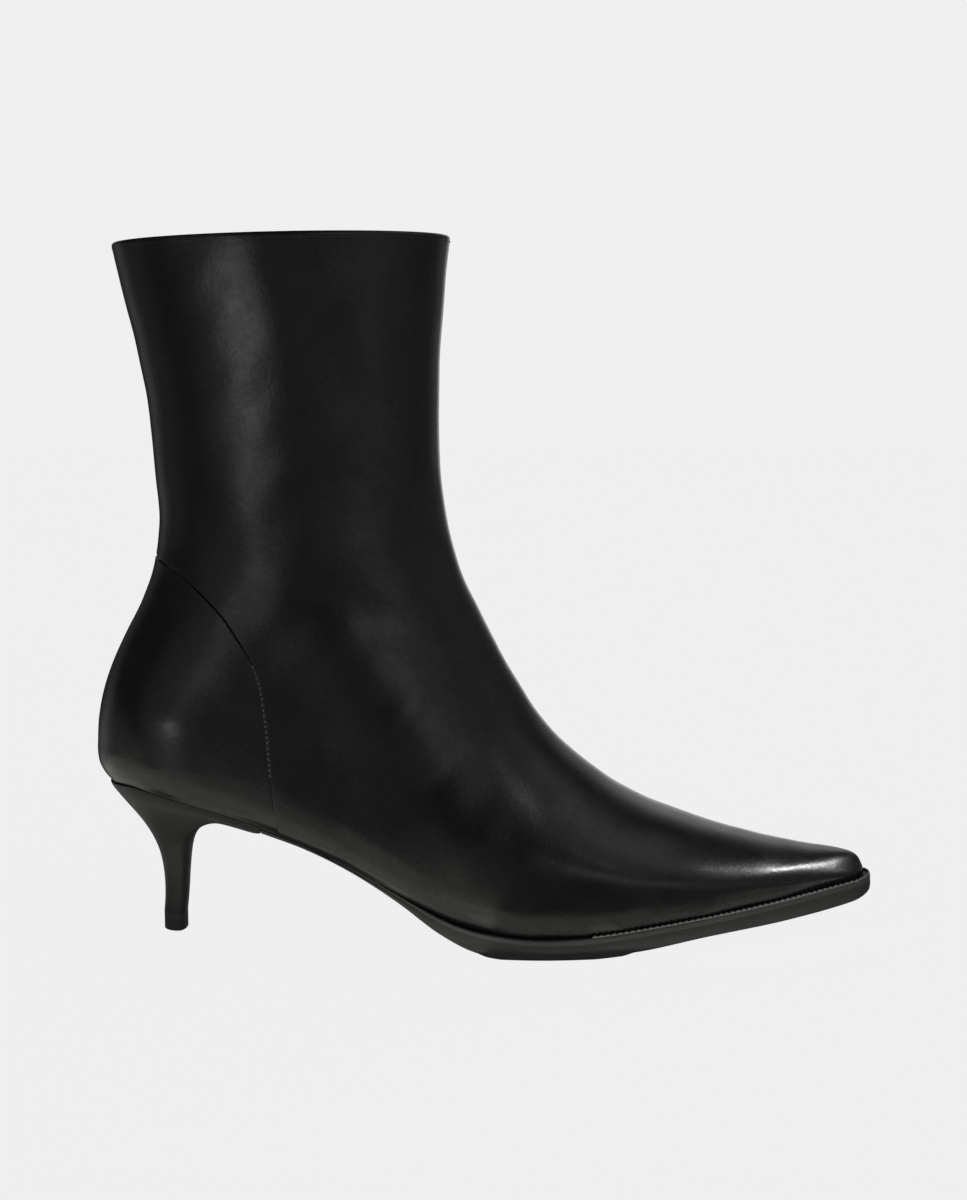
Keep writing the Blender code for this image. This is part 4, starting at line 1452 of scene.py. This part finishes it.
def make_light():
    """Soft studio light and an even pale surround."""
    scene = bpy.context.scene
    scene.view_settings.view_transform = "Standard"
    world = bpy.data.worlds.new("surround")
    scene.world = world
    world.use_nodes = True
    tree = world.node_tree
    back = tree.nodes["Background"]
    back.inputs["Color"].default_value = (1.0, 1.0, 1.0, 1.0)
    seen = tree.nodes.new("ShaderNodeLightPath")
    links = {"To Min": surround(tree), "Value": seen.outputs["Is Camera Ray"]}
    amount = add_node(tree, "ShaderNodeMapRange", {"To Max": BACKDROP}, links)
    tree.links.new(amount.outputs["Result"], back.inputs["Strength"])
    for box in SOFT_BOXES:
        soft_box(*box)
    for card in FLOOR_CARDS:
        floor_card(*card)
    for lamp in SMALL_LAMPS:
        small_lamp(*lamp)


# Floor: half its side in metres, scale of its cloud, its two colours, roughness, brightness from within.
FLOOR_REACH = 6.0
FLOOR_CLOUD = 3.0
FLOOR_COLOURS = ((0.048, 0.048, 0.048), (0.052, 0.052, 0.052))
FLOOR_ROUGHNESS = 0.9
FLOOR_GLOW = 0.855


def make_floor():
    """Pale floor, lit from within so that it stays even."""
    mesh = bpy.data.meshes.new("floor")
    corners = [(x * FLOOR_REACH, y * FLOOR_REACH, 0.0) for x, y in ((-1, -1), (1, -1), (1, 1), (-1, 1))]
    mesh.from_pydata(corners, [], [(0, 1, 2, 3)])
    floor = add_object("floor", mesh)
    material, tree, shader, place = new_material("floor")
    cloud = noise(tree, place, FLOOR_CLOUD)
    tree.links.new(blended(tree, cloud, *FLOOR_COLOURS), shader.inputs["Base Color"])
    shader.inputs["Roughness"].default_value = FLOOR_ROUGHNESS
    shader.inputs["Specular IOR Level"].default_value = 0.0
    shader.inputs["Emission Color"].default_value = (1.0, 1.0, 1.0, 1.0)
    shader.inputs["Emission Strength"].default_value = FLOOR_GLOW
    mesh.materials.append(material)
    floor.visible_glossy = False
    floor.visible_shadow = False


def make_camera():
    """Camera at the photograph's viewing angle."""
    data = bpy.data.cameras.new("camera")
    data.sensor_fit = "VERTICAL"
    data.sensor_height = CAMERA_SENSOR
    data.lens = CAMERA_LENS
    camera = add_object("camera", data)
    camera.location = CAMERA_PLACE
    aim = Vector(CAMERA_AIM) - Vector(CAMERA_PLACE)
    camera.rotation_euler = aim.to_track_quat("-Z", "Y").to_euler()
    bpy.context.scene.camera = camera


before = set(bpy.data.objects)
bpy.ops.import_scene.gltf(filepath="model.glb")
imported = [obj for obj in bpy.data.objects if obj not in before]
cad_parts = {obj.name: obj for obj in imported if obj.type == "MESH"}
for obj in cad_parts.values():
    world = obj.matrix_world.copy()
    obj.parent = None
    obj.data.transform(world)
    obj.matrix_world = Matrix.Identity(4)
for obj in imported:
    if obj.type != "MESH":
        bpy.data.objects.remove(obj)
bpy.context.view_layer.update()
make_camera()
make_boot()
make_floor()
make_light()
